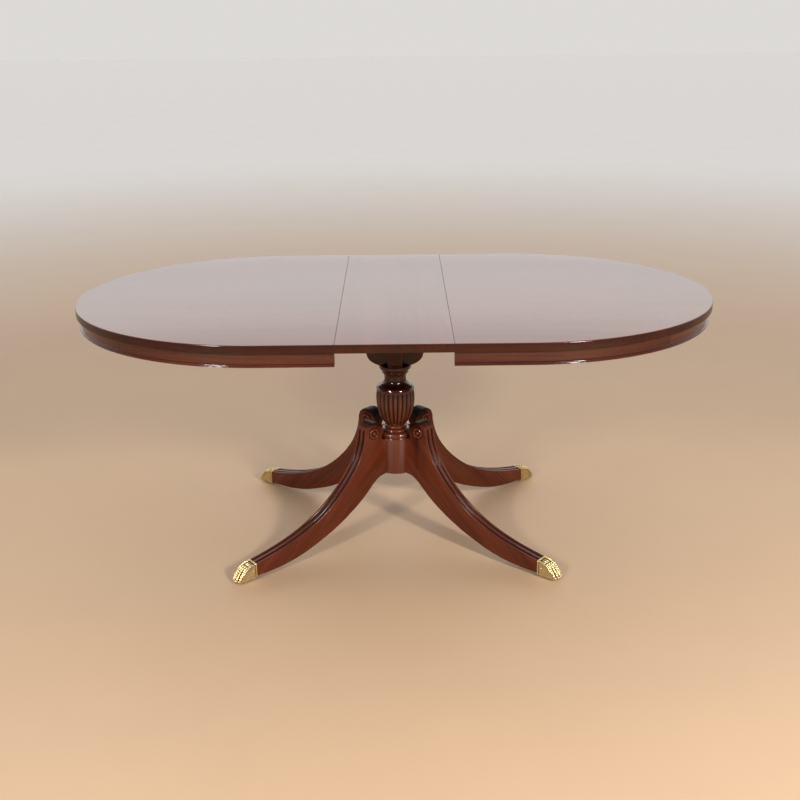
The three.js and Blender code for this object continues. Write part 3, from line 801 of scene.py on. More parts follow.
def column_profile():
    """Closed (radius, height) profile, in metres, from the bore round the outside."""
    runs = (
        ([(46.3, 531.4), (47.6, 530.2), (48.0, 526.5), (47.7, 522.2), (46.4, 519.2)], 4),
        ([(46.2, 518.8), (44.4, 518.6)], 1),
        ([(44.2, 518.3), (40.6, 515.8), (38.8, 512.0)], 4),
        ([(38.8, 511.4), (39.9, 509.4), (39.4, 506.6), (37.4, 505.4)], 4),
        ([(36.6, 505.0), (34.0, 500.4), (32.6, 492.0), (33.0, 484.0), (35.2, 476.6),
          (39.6, 471.0), (45.6, 467.9)], 6),
        ([(46.6, 467.3), (51.2, 466.2), (54.9, 463.2), (56.5, 459.0)], 5),
        ([(56.8, 458.6), (57.6, 456.8), (57.0, 454.8), (55.6, 454.0)], 4),
        ([(55.3, 453.4), (56.7, 446), (57.9, 436), (58.2, 425), (57.3, 408), (54.2, 390),
          (49.5, 373.5), (43.0, 360), (36.2, 350), (30.6, 343.2), (28.9, 341.2)], 9),
        ([(29.6, 340.6), (30.8, 340.3)], 1),
        ([(31.8, 339.9), (34.0, 338.4), (34.4, 336.4), (33.4, 334.5)], 4),
        ([(32.0, 333.9), (36.4, 333.7)], 1),
        ([(37.6, 333.6), (42.4, 332.8), (44.9, 330.2), (44.7, 327.4), (42.6, 325.6)], 5),
        ([(41.6, 325.2), (46.8, 325.0)], 1),
        ([(48.4, 324.9), (53.8, 323.2), (56.6, 319.6), (56.9, 315.4), (55.6, 311.6)], 6),
        ([(54.0, 310.2), (54.0, 309.0), (55.8, 309.0)], 1),
        ([(56.6, 308.9), (57.6, 308.2), (58.0, 307.0)], 3),
        ([(58.0, 199.0), (57.4, 197.8), (56.2, 197.0)], 3),
        ([(53.5, 197.0), (53.5, 201.0)], 1),
        ([(15.0, 201.0), (15.0, 214.0), (6.5, 214.0), (6.5, 531.4)], 1),
    )
    profile = []
    for points, steps in runs:
        profile += smooth_run(points, steps) if steps > 1 else points
    return in_metres(profile)


def leg_mortises():
    """Cutters for the four mortises that take the legs."""
    back, front, half, bottom = 0.04, 0.063, LEG_HALF + PLAY, 0.19
    return [block_cutter(back, front, -half, half, bottom, BLOCK_TOP, angle) for angle in leg_angles()]


def make_column():
    reeds = shape().urn_reeds
    depth = shape().urn_reed_depth

    def ripple(height, angle):
        if not URN_BOTTOM < height < URN_TOP:
            return 0.0
        top = min(1.0, (URN_TOP - height) / 0.005)
        bottom = min(1.0, (height - URN_BOTTOM) / 0.012)
        lobe = abs(math.cos(reeds * angle / 2))
        return -depth * top * bottom * (1 - lobe)

    def shade(height):
        clear, fade, deepest = 0.008, 0.01, 0.4
        return deepest * min(1.0, max(0.0, (height - URN_TOP - clear) / fade))

    piece = turned("turned_column", column_profile(), reeds * 12, "column mahogany",
                   ripple=ripple, depth=depth, shade=shade)
    cut_away(piece, leg_mortises())
    stand_for(piece, "pedestal", "dark_mahogany", "column")


# ------------------------------------------------------------------ legs

def leg_angles():
    return [math.radians(a) for a in (LEG_ANGLE, 180 - LEG_ANGLE, 180 + LEG_ANGLE, 360 - LEG_ANGLE)]


SCROLL_START = -8
SCROLL_SWEEP = 223
SCROLL_STEPS = 61
BEAD_HEIGHT = 1.6
SCROLL_BEADS = ((40, 7, BEAD_HEIGHT), (58, 4, 0.9))


def bead_rise(degrees):
    """How far the beads across a scroll stand up at an angle round it, in millimetres."""
    rise = sum(max(0.0, 1 - abs(degrees - middle) / half) * height
               for middle, half, height in SCROLL_BEADS)
    return math.sqrt(rise / BEAD_HEIGHT) * BEAD_HEIGHT


def leg_outline():
    """Side outline of a leg as (radius, height, fluted) points, in metres."""
    under = smooth_run([(54.2, 197.5), (72, 195.3), (86, 190), (100, 180.5), (117, 165), (137, 147),
                        (160, 128.5), (187, 110.5), (213, 94.5), (243, 78.5), (272, 64.5),
                        (327, 43), (381, 26.5), (434, 16.5), (480, 12.8), (531.5, 12)], 5)
    shoulder = math.radians(SCROLL_START)
    radius = SCROLL_RADIUS / MM
    start = (SCROLL_R / MM + radius * math.cos(shoulder), SCROLL_Z / MM + radius * math.sin(shoulder))
    over = smooth_run([(531.5, 50), (490, 57.5), (440, 68.5), (390, 83), (340, 102.5), (290, 129.5),
                       (243, 163.5), (207, 196.5), (180, 227), (161, 254), (147, 282), (138, 308),
                       start], 8)
    scroll = []
    for i in range(1, SCROLL_STEPS + 1):
        degrees = SCROLL_START + SCROLL_SWEEP * i / SCROLL_STEPS
        a = math.radians(degrees)
        r = radius + bead_rise(degrees)
        scroll.append((SCROLL_R / MM + r * math.cos(a), SCROLL_Z / MM + r * math.sin(a), degrees))
    points = [(40.3, 308.7, 0), (40.3, 201.3, 0), (54.2, 201.3, 0)]
    points += [(r, z, 0) for r, z in under]
    points += [(r, z, 1) for r, z in over]
    points += [(r, z, min(1.0, max(0.0, (30 - degrees) / 10))) for r, z, degrees in scroll]
    points += [(70.3, 313.5, 0), (68.6, 310.6, 0), (64.5, 308.9, 0)]
    return [(r * MM, z * MM, w) for r, z, w in points]


FLUTE_MIDDLE = 9.4
FLUTE_HALF = 4.9
LIP_DEPTH = 0.00015
LIP_WIDTH = 0.13


def leg_columns():
    """Places across a leg, in metres, that follow its two flutes and its arrises."""
    half = [0, 1.5, 3.0, 3.9, 4.3, 4.5]
    half += [FLUTE_MIDDLE - FLUTE_HALF * math.cos(math.pi * k / 12) for k in range(1, 12)]
    half += [14.3, 14.5, 14.9, 15.6, 17.0, 18.4, 18.9, 19.3, 19.6, 19.85, 20.0]
    return [-y * MM for y in reversed(half[1:])] + [y * MM for y in half]


def flute_drop(y, depth):
    """Depth of a fluted surface, with eased lips, at a distance y from the leg's middle."""
    across = abs((abs(y) / MM - FLUTE_MIDDLE) / FLUTE_HALF)
    if across < 1.0:
        return LIP_DEPTH + depth * math.sqrt(1.0 - across * across)
    return LIP_DEPTH * max(0.0, 1.0 + LIP_WIDTH - across) / LIP_WIDTH


def scroll_shade(point):
    """How deep the finish is shaded on the top of a scroll, behind its beads."""
    reach = (SCROLL_R + 0.028 - point[0]) / 0.016
    height = (point[1] - SCROLL_Z - 0.004) / 0.012
    return min(1.0, max(0.0, reach)) * min(1.0, max(0.0, height))


def roundel(centre_r, centre_z, side):
    """Turned roundel on the side of a leg's scroll: rings round a button."""
    # Each ring: radius and height in millimetres, then how much painted shade it takes, darkest in the
    # grooves between the rings.
    rings = [(18.6, -0.4, 0.3), (18.6, 0.2, 0.9), (17.2, 0.2, 1.0), (16.6, 1.4, 0.5), (15.6, 3.2, 0),
             (13.8, 4.3, 0), (12.0, 4.5, 0), (10.4, 3.6, 0), (9.3, 1.8, 0.5), (8.6, 0.5, 1.0),
             (7.4, 0.5, 1.0), (6.6, 2.0, 0.5), (5.6, 3.8, 0), (4.0, 4.9, 0), (2.0, 5.3, 0),
             (0.7, 5.4, 0)]
    segments = 40
    verts = []
    hollow = []
    for radius, height, depth in rings:
        for j in range(segments):
            a = 2 * math.pi * j / segments
            verts.append((centre_r + radius * MM * math.cos(a), side * (LEG_HALF + height * MM),
                          centre_z + radius * MM * math.sin(a)))
            # Painted shade in the grooves between the rings.
            hollow.append(depth)
    faces = loops_to_faces(len(rings), segments)
    faces.append(tuple(range((len(rings) - 1) * segments, len(rings) * segments)))
    faces.append(tuple(reversed(range(segments))))
    return verts, faces, hollow


def leg_extras():
    """The two roundels of a leg's scroll and the tenon that goes into its cap."""
    extras = [roundel(SCROLL_R + 0.0015, SCROLL_Z + 0.0005, side) for side in (-1, 1)]
    corners = [(x, y, z) for x in (TOE_JOINT - 0.004, TENON_END) for y in (-TENON_HALF, TENON_HALF)
               for z in (TENON_LOW, TENON_HIGH)]
    extras.append((corners, BOX_FACES, [0.0] * len(corners)))
    return extras


def make_legs():
    outline = leg_outline()
    depth = shape().leg_flute_depth
    columns = leg_columns()

    def sink(i, y):
        return edge_drop(y, LEG_HALF, 0.0013) + outline[i][2] * flute_drop(y, depth)

    verts, parts = shaped_board([p[:2] for p in outline], columns, sink)
    # Painted shade: darker down in the flutes, and on the scroll top from scroll_shade.
    hollow = [max(p[2] * min(1.0, flute_drop(y, depth) / depth), scroll_shade(p))
              for y in columns for p in outline]
    for more, more_faces, more_hollow in leg_extras():
        base = len(verts)
        verts += more
        hollow += more_hollow
        parts += [tuple(base + k for k in face) for face in more_faces]
    for number, (name, angle) in enumerate(zip(LEG_NAMES, leg_angles())):
        turn = Matrix.Rotation(angle, 4, "Z")
        placed = [turn @ Vector(v) for v in verts]
        grain = [((x - z) * 0.75 + number, (x + z) * 0.75, y) for x, y, z in verts]
        piece = mesh_piece(f"{name}_sabre_leg", placed, parts, "leg mahogany", grain, hollow)
        stand_for(fix_faces(piece), "pedestal", "mahogany", f"{name}_leg")


# ------------------------------------------------------------------ paw caps

CAP_BOTTOM = 0.006
CAP_MOUTH = 532.4
TAPER_START = 566
SKIN_VOXEL = 0.0006
SIDE_EDGE = ((534, 50.3), (541, 49.2), (549, 47.2), (556, 44.9), (562, 42.0), (567, 37.6),
             (571, 32.0), (575, 27.4), (580, 24.0), (586, 21.0))
TOE_LINE = ((563, 42.5, 4.6, 3.8), (569, 40.2, 5.0, 4.6), (574, 36.2, 4.8, 4.9),
            (579, 31.0, 4.6, 4.9), (583, 25.5, 4.8, 5.0), (587, 20.4, 5.0, 5.2),
            (589.8, 15.2, 5.0, 5.2), (590.6, 11.5, 5.0, 5.0), (590, 9.4, 5.0, 4.8))


def ball(centre, radii, tilt=0.0):
    """(centre, radii, tilt) of an egg shape; tilt leans it forward, in degrees."""
    return Vector(centre) * MM, Vector(radii) * MM, math.radians(tilt)


def paw_lumps():
    """Egg shapes of toes, claws, locks of fur and pads, in millimetres along the leg."""
    lumps = []
    for place, lead in ((-14.0, -4.5), (-4.8, 0), (4.8, 0), (14.0, -4.5)):
        for x, z, length, width in TOE_LINE:
            fan = 1.0 + (x - 575) * 0.004
            low = min(1.0, max(0.0, (x - 556) / 30))
            lumps.append(ball((x + lead * low, place * fan, z), (length, width * 0.8, length)))
        lumps.append(ball((594.4 + lead, place * 1.06, 10.4), (4.0, 1.9, 2.6), 38))
    for y in (-9.5, 0.0, 9.5):
        lumps.append(ball((546, y, 44.2), (9.0, 2.6, 2.6), 8))
    for (x0, z0), (x1, z1) in zip(SIDE_EDGE, SIDE_EDGE[1:]):
        for t in (0.0, 0.33, 0.66):
            for side in (-1, 1):
                x, z = x0 + (x1 - x0) * t, z0 + (z1 - z0) * t
                half = 18.7 - max(0.0, x - TAPER_START) * 0.05
                lumps.append(ball((x, side * half, z), (1.6, 1.5, 1.5)))
    lumps.append(ball((563, 0, 22), (19, 14.5, 13), 20))
    lumps.append(ball((571, 0, 12), (15.5, 16.5, 9)))
    return lumps


def egg_mesh(centre, radii, tilt, segments=18, rings=10):
    verts = []
    turn = Matrix.Rotation(tilt, 4, "Y")
    for i in range(1, rings):
        p = math.pi * i / rings
        for j in range(segments):
            a = 2 * math.pi * j / segments
            local = Vector((radii.x * math.sin(p) * math.cos(a), radii.y * math.sin(p) * math.sin(a),
                            radii.z * math.cos(p)))
            verts.append(centre + turn @ local)
    faces = loops_to_faces(rings - 1, segments)
    verts.append(centre + turn @ Vector((0, 0, radii.z)))
    verts.append(centre - turn @ Vector((0, 0, radii.z)))
    top, bottom = len(verts) - 2, len(verts) - 1
    for j in range(segments):
        k = (j + 1) % segments
        faces.append((top, k, j))
        faces.append((bottom, (rings - 2) * segments + j, (rings - 2) * segments + k))
    return verts, faces


def cap_plate(inner, outer, drop):
    """Upright plate of the cap between two places across it, its front edge swept down."""
    outline = [(CAP_MOUTH, 8.0), (548, 6.0), (560, 5.0), (583, 5.0)]
    outline += [(x, z - drop) for x, z in reversed(SIDE_EDGE)]
    outline += [(CAP_MOUTH, SIDE_EDGE[0][1] - drop)]
    verts = []
    for y in (inner, outer):
        verts += [Vector((x, y * (1 - max(0.0, x - TAPER_START) * 0.004), z)) * MM
                  for x, z in outline]
    return verts, capped_loops(2, len(outline))


def cap_body():
    """Two flat cheeks with a lower core between them."""
    return [cap_plate(-19.2, -15.8, 0.6), cap_plate(15.8, 19.2, 0.6), cap_plate(-16.5, 16.5, 4.2)]


def rim_band():
    """Raised square band round the mouth of the cap."""
    verts = []
    corner = 1.6
    for x, grow in ((531.9, 0.0), (532.6, 0.6), (535.0, 0.6), (536.0, -0.9)):
        half, low, high = 20.4 + grow, 7.6 - grow, 51.0 + grow
        for cy, cz, a0 in ((half - corner, high - corner, 0), (-half + corner, high - corner, 90),
                           (-half + corner, low + corner, 180), (half - corner, low + corner, 270)):
            for i in range(4):
                a = math.radians(a0 + 30 * i)
                verts.append(Vector((x, cy + corner * math.cos(a), cz + corner * math.sin(a))) * MM)
    return verts, capped_loops(4, 16)


def hollowness(mesh, rounds, reach):
    """0 to 1 for each point: how far it lies below the smoothed surface round it."""
    count = len(mesh.vertices)
    points = np.empty(count * 3)
    mesh.vertices.foreach_get("co", points)
    points = points.reshape(-1, 3)
    normals = np.empty(count * 3)
    mesh.vertex_normals.foreach_get("vector", normals)
    normals = normals.reshape(-1, 3)
    edges = np.empty(len(mesh.edges) * 2, int)
    mesh.edges.foreach_get("vertices", edges)
    first, second = edges[0::2], edges[1::2]
    degree = np.bincount(edges, minlength=count)
    smooth = points.copy()
    for _ in range(rounds):
        for axis in range(3):
            old = smooth[:, axis]
            total = np.bincount(first, old[second], count) + np.bincount(second, old[first], count)
            smooth[:, axis] = total / degree
    depth = ((smooth - points) * normals).sum(1)
    return np.clip(depth / reach, 0.0, 1.0)


def paw_mesh():
    """One cast paw along +X: its solids fused into one skin, cut flat and hollowed."""
    verts, faces = [], []
    for more, more_faces in cap_body() + [rim_band()] + [egg_mesh(*lump) for lump in paw_lumps()]:
        base = len(verts)
        verts += more
        faces += [tuple(base + k for k in face) for face in more_faces]
    rough = fix_faces(mesh_piece("paw_rough", verts, faces, "brass"))
    skin = rough.modifiers.new("skin", "REMESH")
    skin.mode = "VOXEL"
    skin.voxel_size = SKIN_VOXEL
    soften = rough.modifiers.new("soften", "SMOOTH")
    soften.factor = 0.5
    soften.iterations = 2
    graph = bpy.context.evaluated_depsgraph_get()
    graph.update()
    fused = bpy.data.meshes.new_from_object(rough.evaluated_get(graph))
    rough.modifiers.clear()
    rough.data = fused
    wide, below, above = 0.05, -0.02, 0.1
    base_cut = block_cutter(0.5, 0.65, -wide, wide, below, CAP_BOTTOM)
    socket = block_cutter(0.525, TENON_END + PLAY, -TENON_HALF - PLAY, TENON_HALF + PLAY,
                          TENON_LOW - PLAY, TENON_HIGH + PLAY)
    mouth_cut = block_cutter(0.5, TOE_JOINT + PLAY, -wide, wide, below, above)
    cut_away(rough, [base_cut, socket, mouth_cut])
    made = rough.data
    bpy.data.objects.remove(rough)
    hollow = made.attributes.new("hollow", "FLOAT", "POINT")
    depths = hollowness(made, rounds=22, reach=0.00036)
    hollow.data.foreach_set("value", depths.astype(np.float32))
    return made


def make_cap_pins(name, angle):
    """The two pins through the cheeks of a cap."""
    points = in_metres([(0, 18.8), (1.9, 18.9), (1.9, 19.6), (1.5, 20.2), (0.8, 20.5), (0, 20.6)])
    pin_x, pin_z = 0.5445, 0.030
    for side, place in ((-1, "near"), (1, "far")):
        pin = turned_solid(f"{name}_cap_pin_{place}", points, 20, "brass")
        pin.data.transform(Matrix.Rotation(-side * math.pi / 2, 4, "X"))
        pin.data.transform(Matrix.Translation((pin_x, 0, pin_z)))
        pin.data.transform(Matrix.Rotation(angle, 4, "Z"))
        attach(pin, "pedestal")


def make_glide(name, angle):
    """The iron glide that a cap stands on."""
    points = in_metres([(0, 0), (7.6, 0), (8.4, 0.6), (8.6, 1.6), (8.0, 2.6), (5.2, 3.2), (5.0, 7.5),
                        (0, 7.5)])
    reach = 0.572
    glide = turned_solid(f"{name}_glide", points, 32, "black iron", "z",
                         (reach * math.cos(angle), reach * math.sin(angle), 0))
    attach(glide, "pedestal")


def make_paw_caps():
    mould = paw_mesh()
    for name, angle in zip(LEG_NAMES, leg_angles()):
        mesh = mould.copy()
        mesh.transform(Matrix.Rotation(angle, 4, "Z"))
        piece = bpy.data.objects.new(f"{name}_lion_paw", mesh)
        bpy.context.scene.collection.objects.link(piece)
        mesh.shade_smooth()
        mesh.set_sharp_from_angle(angle=CAST_SHARP_ANGLE)
        stand_for(piece, "pedestal", "brass", f"{name}_paw_cap")
        make_cap_pins(name, angle)
        make_glide(name, angle)
    bpy.data.meshes.remove(mould)


# ------------------------------------------------------------------ slides and hardware

def dress(node_name, material_name, width=None):
    """Gives a CAD piece that stays in view its finish and rounds its arrises."""
    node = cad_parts[node_name]
    for slot in node.material_slots:
        slot.material = material(material_name)
    modifier = node.modifiers.new("arris", "BEVEL")
    modifier.width = width or shape().arris
    modifier.segments = 2
    modifier.limit_method = "ANGLE"
    modifier.angle_limit = math.radians(40)


def make_slides():
    for name, _ in SIDES:
        for row in ("front", "back"):
            dress(f"{name}_rail_{row}", "slide wood")
            dress(f"{name}_glue_block_{row}", "block wood", 0.001)
        dress(f"{name}_slide_cleat", "cleat wood", 0.001)
        dress(f"{name}_rack", "rack wood", 0.0003)
    for row in ("front", "back"):
        dress(f"centre_rail_{row}", "slide wood")


def make_gear():
    dress("equaliser_pinion", "steel", 0.0003)
    profile = [(0, 655), (2.5, 655.4), (4, 658)]
    profile += [(4 if k % 2 else 3.4, 659 + k) for k in range(24)]
    profile += [(4, 689.7), (5, 689.7), (5, 712), (8.6, 712), (9, 712.4), (9, 714.4),
                (7.6, 716), (4, 716.8), (0, 717)]
    piece = turned_solid("pinion_pivot_screw", in_metres(profile), 40, "steel", "z", (PINION_X, 0, 0))
    slot_reach, slot_half = 0.01, 0.0008
    cut_away(piece, [block_cutter(PINION_X - slot_reach, PINION_X + slot_reach, -slot_half, slot_half,
                                  0.7154, 0.72)])
    stand_for(piece, "pedestal", "steel", "pinion_screw")


def make_lock(name, side):
    """The lock's screw on the end, with its slot, and its peg under the leaf."""
    screw_x, peg_x = side * 0.185, side * 0.135
    profile = [(0, 715.2), (2.6, 715.4), (4.8, 716.4), (5.5, 717.8), (5.5, 718.7), (2.5, 718.7),
               (2.5, 736), (0, 738)]
    screw = turned_solid(f"{name}_lock_screw", in_metres(profile), 32, "brass", "z",
                         (screw_x, LOCK_Y, 0))
    slot_reach, slot_half = 0.0065, 0.0006
    cut_away(screw, [block_cutter(screw_x - slot_reach, screw_x + slot_reach, LOCK_Y - slot_half,
                                  LOCK_Y + slot_half, 0.710, 0.7162)])
    stand_for(screw, f"{name}_end", "brass", f"{name}_lock_pivot")
    profile = [(0, 714), (3.2, 714.1), (3.9, 714.8), (4, 715.6), (4, 717.6), (3.5, 718.4),
               (3.5, 723), (4, 724), (4, 738), (0, 738)]
    peg = turned_solid(f"{name}_lock_peg", in_metres(profile), 32, "brass", "z", (peg_x, LOCK_Y, 0))
    stand_for(peg, "leaf", "brass", f"{name}_lock_stud")


def make_dowel(name, side, row, y):
    """One of the dowels that line the leaf up, with its tip rounded."""
    tip, root = side * (SEAM_X - 0.011), side * (SEAM_X + 0.022)
    profile = [(0, tip), (2.2, tip + side * 0.0001), (3.5, tip + side * 0.0012),
               (4, tip + side * 0.003), (4, root), (0, root)]
    points = [(r * MM, x) for r, x in profile]
    dowel = turned_solid(f"{name}_{row}_dowel", points, 28, "brass", "x",
                         (0, y, (TOP_Z + TOP_UNDER) / 2))
    stand_for(dowel, f"{name}_end", "brass", f"{name}_leaf_pin_{row}")


def make_locks():
    for name, side in SIDES:
        dress(f"{name}_lock_lever", "brass", 0.0005)
        make_lock(name, side)
        make_dowel(name, side, "front", -LEAF_PIN_Y)
        make_dowel(name, side, "back", LEAF_PIN_Y)


def ring_profile(inner, outer, low, high, chamfer):
    """Closed profile of a ring with its outer arrises chamfered, from millimetres."""
    return in_metres([(inner, low), (outer - chamfer, low), (outer, low + chamfer),
                      (outer, high - chamfer), (outer - chamfer, high), (inner, high)])


def make_tie_rod():
    crest, root, pitch = 4.9, 4.3, 0.75
    profile = [(0, 202)]
    profile += [(crest if k % 2 else root, 202.4 + k * pitch) for k in range(20)]
    profile += [(5.0, 218), (5.0, 668)]
    profile += [(crest if k % 2 else root, 668.6 + k * pitch) for k in range(23)]
    profile += [(0, 686)]
    rod = turned_solid("column_tie_rod", in_metres(profile), 24, "steel")
    stand_for(rod, "pedestal", "steel", "tie_rod")


def make_rings():
    """The washers and the six-sided nuts on the tie rod."""
    rings = (
        ("upper_washer", "top_washer", (6.2, 13, 672.3, 674.3, 0.3), 48),
        ("lower_washer", "bottom_washer", (6.2, 13, 211.4, 213.7, 0.3), 48),
        ("upper_nut", "top_nut", (5.4, 9.8, 674.6, 683.0, 0.7), 6),
        ("lower_nut", "bottom_nut", (5.4, 9.8, 203.0, 211.1, 0.7), 6),
    )
    for name, node, sizes, sides in rings:
        piece = turned(name, ring_profile(*sizes), sides, "steel")
        stand_for(piece, "pedestal", "steel", node)


def screw_place(angle):
    return SCREW_CIRCLE * math.cos(angle), SCREW_CIRCLE * math.sin(angle)


def make_leg_plate():
    low, high = PLATE_LOW.z, PLATE_HIGH.z
    profile = ring_profile(16, 53, low / MM, high / MM, 0.4)
    plate = turned("iron_leg_plate", profile, 96, "black iron")
    hole, over = 0.0047, 0.001
    cut_away(plate, [rod_cutter(hole, low - over, high + over, *screw_place(a)) for a in leg_angles()])
    stand_for(plate, "pedestal", "iron", "leg_plate")


def make_leg_screws():
    profile = [(0, 198.2), (4.0, 198.2), (4.2, 198.5), (2.2, 200.8)]
    profile += [(2.2 if k % 2 else 1.7, 202 + k) for k in range(46)]
    profile += [(1.2, 251), (0, 254)]
    slot_reach, slot_half = 0.006, 0.0005
    for name, angle in zip(LEG_NAMES, leg_angles()):
        x, y = screw_place(angle)
        screw = turned_solid(f"{name}_leg_screw", in_metres(profile), 24, "steel", "z", (x, y, 0))
        slot = block_cutter(x - slot_reach, x + slot_reach, y - slot_half, y + slot_half, 0.192, 0.1992)
        cut_away(screw, [slot])
        stand_for(screw, "pedestal", "steel", f"{name}_plate_screw")


def make_fixings():
    make_tie_rod()
    make_rings()
    make_leg_plate()
    make_leg_screws()


# ------------------------------------------------------------------ stage

def floor_material():
    """Plain matt floor, warm under the table and paler further out."""
    made, tree, shader = start_material("plain floor")
    coords = add_node(tree, "ShaderNodeTexCoord").outputs["Object"]
    reach = add_node(tree, "ShaderNodeVectorMath", {0: coords}, operation="LENGTH").outputs["Value"]
    away = add_node(tree, "ShaderNodeMapRange", {
        "Value": reach, "From Min": 2.2, "From Max": 9.0, "To Min": 0.0, "To Max": 1.0},
        interpolation_type="SMOOTHSTEP").outputs["Result"]
    stage = bpy.context.scene.table_stage
    tone = mix_colour(tree, away, colour4(stage.floor_colour), colour4(stage.far_floor_colour))
    cloud = noise_at(tree, coords, (3.5, 3.5, 3.5), 5.0, 0.6)
    shade = remap(tree, cloud, 0.3, 0.7, 0.985, 1.015)
    tone = mix_colour(tree, 1.0, tone, shade, "MULTIPLY")
    tree.links.new(tone, shader.inputs["Base Color"])
    shader.inputs["Roughness"].default_value = 0.55
    shader.inputs["Specular IOR Level"].default_value = 0.3
    return made


def studio_world():
    """Soft surroundings: a bright wall behind the table and a dimmer room in front."""
    stage = bpy.context.scene.table_stage
    world = bpy.data.worlds.new("studio")
    world.use_nodes = True
    tree = world.node_tree
    tree.nodes.clear()
    way = add_node(tree, "ShaderNodeTexCoord").outputs["Generated"]
    parts = add_node(tree, "ShaderNodeSeparateXYZ", {"Vector": way}).outputs
    smooth = {"interpolation_type": "SMOOTHSTEP"}
    behind = add_node(tree, "ShaderNodeMapRange", {
        "Value": parts["Y"], "From Min": -0.22, "From Max": 0.5, "To Min": 0.0, "To Max": 1.0},
        **smooth).outputs["Result"]
    rise = remap(tree, parts["Z"], 0.10, 0.33, stage.wall_low, stage.wall_high)
    fall = remap(tree, parts["Z"], 0.45, 0.95, 1.0, 0.35)
    wall = maths(tree, "MULTIPLY", rise, fall)
    front = remap(tree, parts["Z"], 0.0, 1.0, stage.room_low, stage.room_high)
    light = add_node(tree, "ShaderNodeMix", {0: behind, 2: front, 3: wall}).outputs[0]
    tint = add_node(tree, "ShaderNodeBackground", {"Color": (1.0, 0.985, 0.97, 1.0), "Strength": light})
    plain = add_node(tree, "ShaderNodeBackground", {
        "Color": colour4(stage.backdrop_colour), "Strength": 1.0})
    seen = add_node(tree, "ShaderNodeLightPath").outputs["Is Camera Ray"]
    mixed = add_node(tree, "ShaderNodeMixShader", {
        0: seen, 1: tint.outputs[0], 2: plain.outputs[0]}).outputs[0]
    add_node(tree, "ShaderNodeOutputWorld", {"Surface": mixed})
    return world


def area_light(name, place, target, size, power, colour=(1, 1, 1)):
    """Square light of the given size that points at its target."""
    data = bpy.data.lights.new(name, "AREA")
    data.shape = "RECTANGLE"
    data.size = size
    data.size_y = size
    data.energy = power
    data.color = colour
    light = bpy.data.objects.new(name, data)
    light.location = place
    light.rotation_mode = "QUATERNION"
    light.rotation_quaternion = (Vector(target) - Vector(place)).to_track_quat("-Z", "Y")
    light.visible_camera = False
    bpy.context.scene.collection.objects.link(light)
    return light


def make_floor(scene):
    reach = 30.0
    mesh = bpy.data.meshes.new("floor")
    mesh.from_pydata([(-reach, -reach, 0), (reach, -reach, 0), (reach, reach, 0), (-reach, reach, 0)],
                     [], [(0, 1, 2, 3)])
    mesh.materials.append(floor_material())
    floor = bpy.data.objects.new("floor", mesh)
    scene.collection.objects.link(floor)


def make_lights(stage):
    """Two low key lights in front, and beside them two that only show as glints."""
    warm = (1.0, 0.97, 0.93)
    key_size, key_target = 0.36, (0, 0, 0.35)
    area_light("key_left", (-1.9, -3.1, 2.08), key_target, key_size, stage.key_left_power, warm)
    area_light("key_right", (1.95, -3.0, 2.08), key_target, key_size, stage.key_right_power, warm)
    glint_size, glint_target = 0.5, (0, 0, 0.4)
    for side in (-1, 1):
        glint = area_light(f"sparkle_{side}", (side * 2.0, -3.0, 1.72), glint_target, glint_size,
                           stage.glint_power)
        glint.visible_diffuse = False


def make_camera(scene, stage):
    pitch, yaw, roll = stage.camera_pitch, stage.camera_yaw, stage.camera_roll
    ahead = Vector((math.sin(yaw) * math.cos(pitch), math.cos(yaw) * math.cos(pitch), -math.sin(pitch)))
    right = Vector((math.cos(yaw), -math.sin(yaw), 0))
    up = right.cross(ahead)
    rolled_right = right * math.cos(roll) + up * math.sin(roll)
    rolled_up = up * math.cos(roll) - right * math.sin(roll)
    turn = Matrix((rolled_right, rolled_up, -ahead)).transposed().to_4x4()
    data = bpy.data.cameras.new("camera")
    data.lens = stage.focal_length
    data.sensor_width = 36.0
    camera = bpy.data.objects.new("camera", data)
    camera.matrix_world = Matrix.Translation(stage.camera_place) @ turn
    scene.collection.objects.link(camera)
    scene.camera = camera


def make_stage():
    scene = bpy.context.scene
    stage = scene.table_stage
    make_floor(scene)
    scene.world = studio_world()
    make_lights(stage)
    make_camera(scene, stage)
    scene.view_settings.view_transform = "Standard"


# ------------------------------------------------------------------ operators

class MakeTops(bpy.types.Operator):
    """Make both table ends and the drop-in leaf"""

    bl_idname = "pedestal_table.make_tops"
    bl_label = "Tops and leaf"

    def execute(self, context):
        make_tops()
        return {"FINISHED"}


class MakeAprons(bpy.types.Operator):
    """Make the beaded aprons round both ends"""

    bl_idname = "pedestal_table.make_aprons"
    bl_label = "Aprons"

    def execute(self, context):
        make_aprons()
        return {"FINISHED"}


class MakeBearers(bpy.types.Operator):
    """Make the crossed bearers on top of the column"""

    bl_idname = "pedestal_table.make_bearers"
    bl_label = "Bearers"

    def execute(self, context):
        make_bearers()
        return {"FINISHED"}


class MakeColumn(bpy.types.Operator):
    """Make the turned and reeded column"""

    bl_idname = "pedestal_table.make_column"
    bl_label = "Column"

    def execute(self, context):
        make_column()
        return {"FINISHED"}


class MakeLegs(bpy.types.Operator):
    """Make the four reeded sabre legs"""

    bl_idname = "pedestal_table.make_legs"
    bl_label = "Legs"

    def execute(self, context):
        make_legs()
        return {"FINISHED"}


class MakePawCaps(bpy.types.Operator):
    """Make the four cast brass paws"""

    bl_idname = "pedestal_table.make_paw_caps"
    bl_label = "Paw caps"

    def execute(self, context):
        make_paw_caps()
        return {"FINISHED"}


class MakeSlides(bpy.types.Operator):
    """Finish the slides, cleats, racks and glue blocks"""

    bl_idname = "pedestal_table.make_slides"
    bl_label = "Slides"

    def execute(self, context):
        make_slides()
        return {"FINISHED"}


class MakeGear(bpy.types.Operator):
    """Make the pinion's screw and finish the pinion"""

    bl_idname = "pedestal_table.make_gear"
    bl_label = "Gear"

    def execute(self, context):
        make_gear()
        return {"FINISHED"}


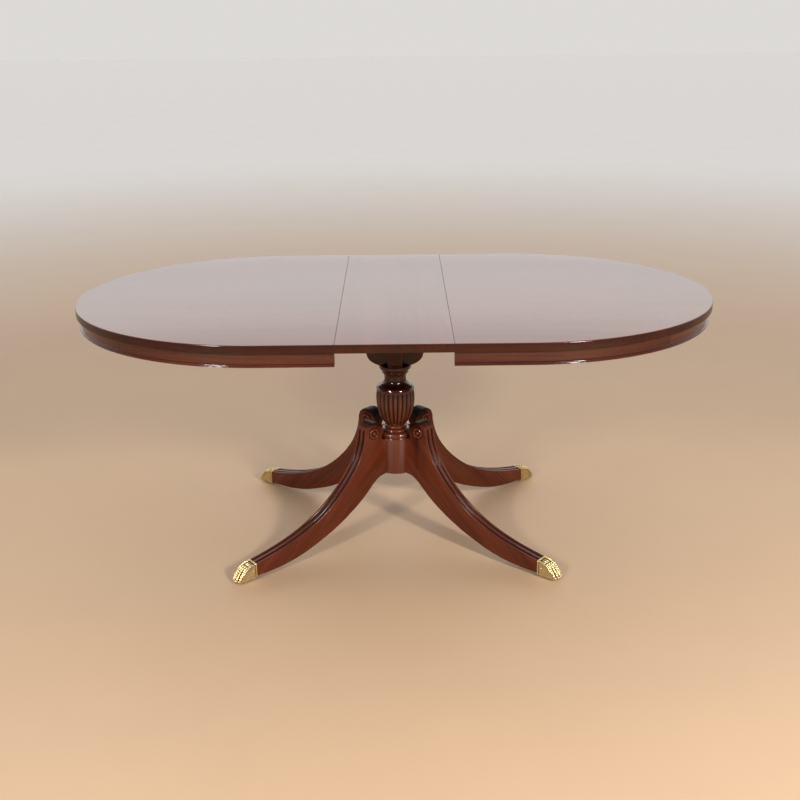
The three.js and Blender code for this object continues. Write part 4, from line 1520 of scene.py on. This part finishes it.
class MakeLocks(bpy.types.Operator):
    """Make the leaf locks and the leaf's dowels"""

    bl_idname = "pedestal_table.make_locks"
    bl_label = "Locks and dowels"

    def execute(self, context):
        make_locks()
        return {"FINISHED"}


class MakeFixings(bpy.types.Operator):
    """Make the tie rod, nuts, washers, plate and screws"""

    bl_idname = "pedestal_table.make_fixings"
    bl_label = "Fixings"

    def execute(self, context):
        make_fixings()
        return {"FINISHED"}


class MakeStage(bpy.types.Operator):
    """Make the floor, the lights and the camera"""

    bl_idname = "pedestal_table.make_stage"
    bl_label = "Stage"

    def execute(self, context):
        make_stage()
        return {"FINISHED"}


MAKERS = (MakeStage, MakeTops, MakeAprons, MakeBearers, MakeColumn, MakeLegs, MakePawCaps,
          MakeSlides, MakeGear, MakeLocks, MakeFixings)


class TablePanel(bpy.types.Panel):
    """Lists the makers and their settings"""

    bl_idname = "VIEW3D_PT_pedestal_table"
    bl_label = "Pedestal Table"
    bl_space_type = "VIEW_3D"
    bl_region_type = "UI"
    bl_category = "Table"

    def draw(self, context):
        layout = self.layout
        for group in (context.scene.table_shape, context.scene.table_finish,
                      context.scene.table_stage):
            for field in group.bl_rna.properties:
                if field.identifier not in ("rna_type", "name"):
                    layout.prop(group, field.identifier)
        for maker in MAKERS:
            layout.operator(maker.bl_idname)


SETTINGS = (
    ("table_shape", TableShapeSettings),
    ("table_finish", TableFinishSettings),
    ("table_stage", TableStageSettings),
)


def register():
    for name, settings in SETTINGS:
        bpy.utils.register_class(settings)
        setattr(bpy.types.Scene, name, bpy.props.PointerProperty(type=settings))
    for maker in MAKERS:
        bpy.utils.register_class(maker)
    bpy.utils.register_class(TablePanel)


def unregister():
    bpy.utils.unregister_class(TablePanel)
    for maker in reversed(MAKERS):
        bpy.utils.unregister_class(maker)
    for name, settings in reversed(SETTINGS):
        delattr(bpy.types.Scene, name)
        bpy.utils.unregister_class(settings)


def main():
    register()
    for maker in MAKERS:
        group, action = maker.bl_idname.split(".")
        getattr(getattr(bpy.ops, group), action)()


if __name__ == "__main__":
    main()
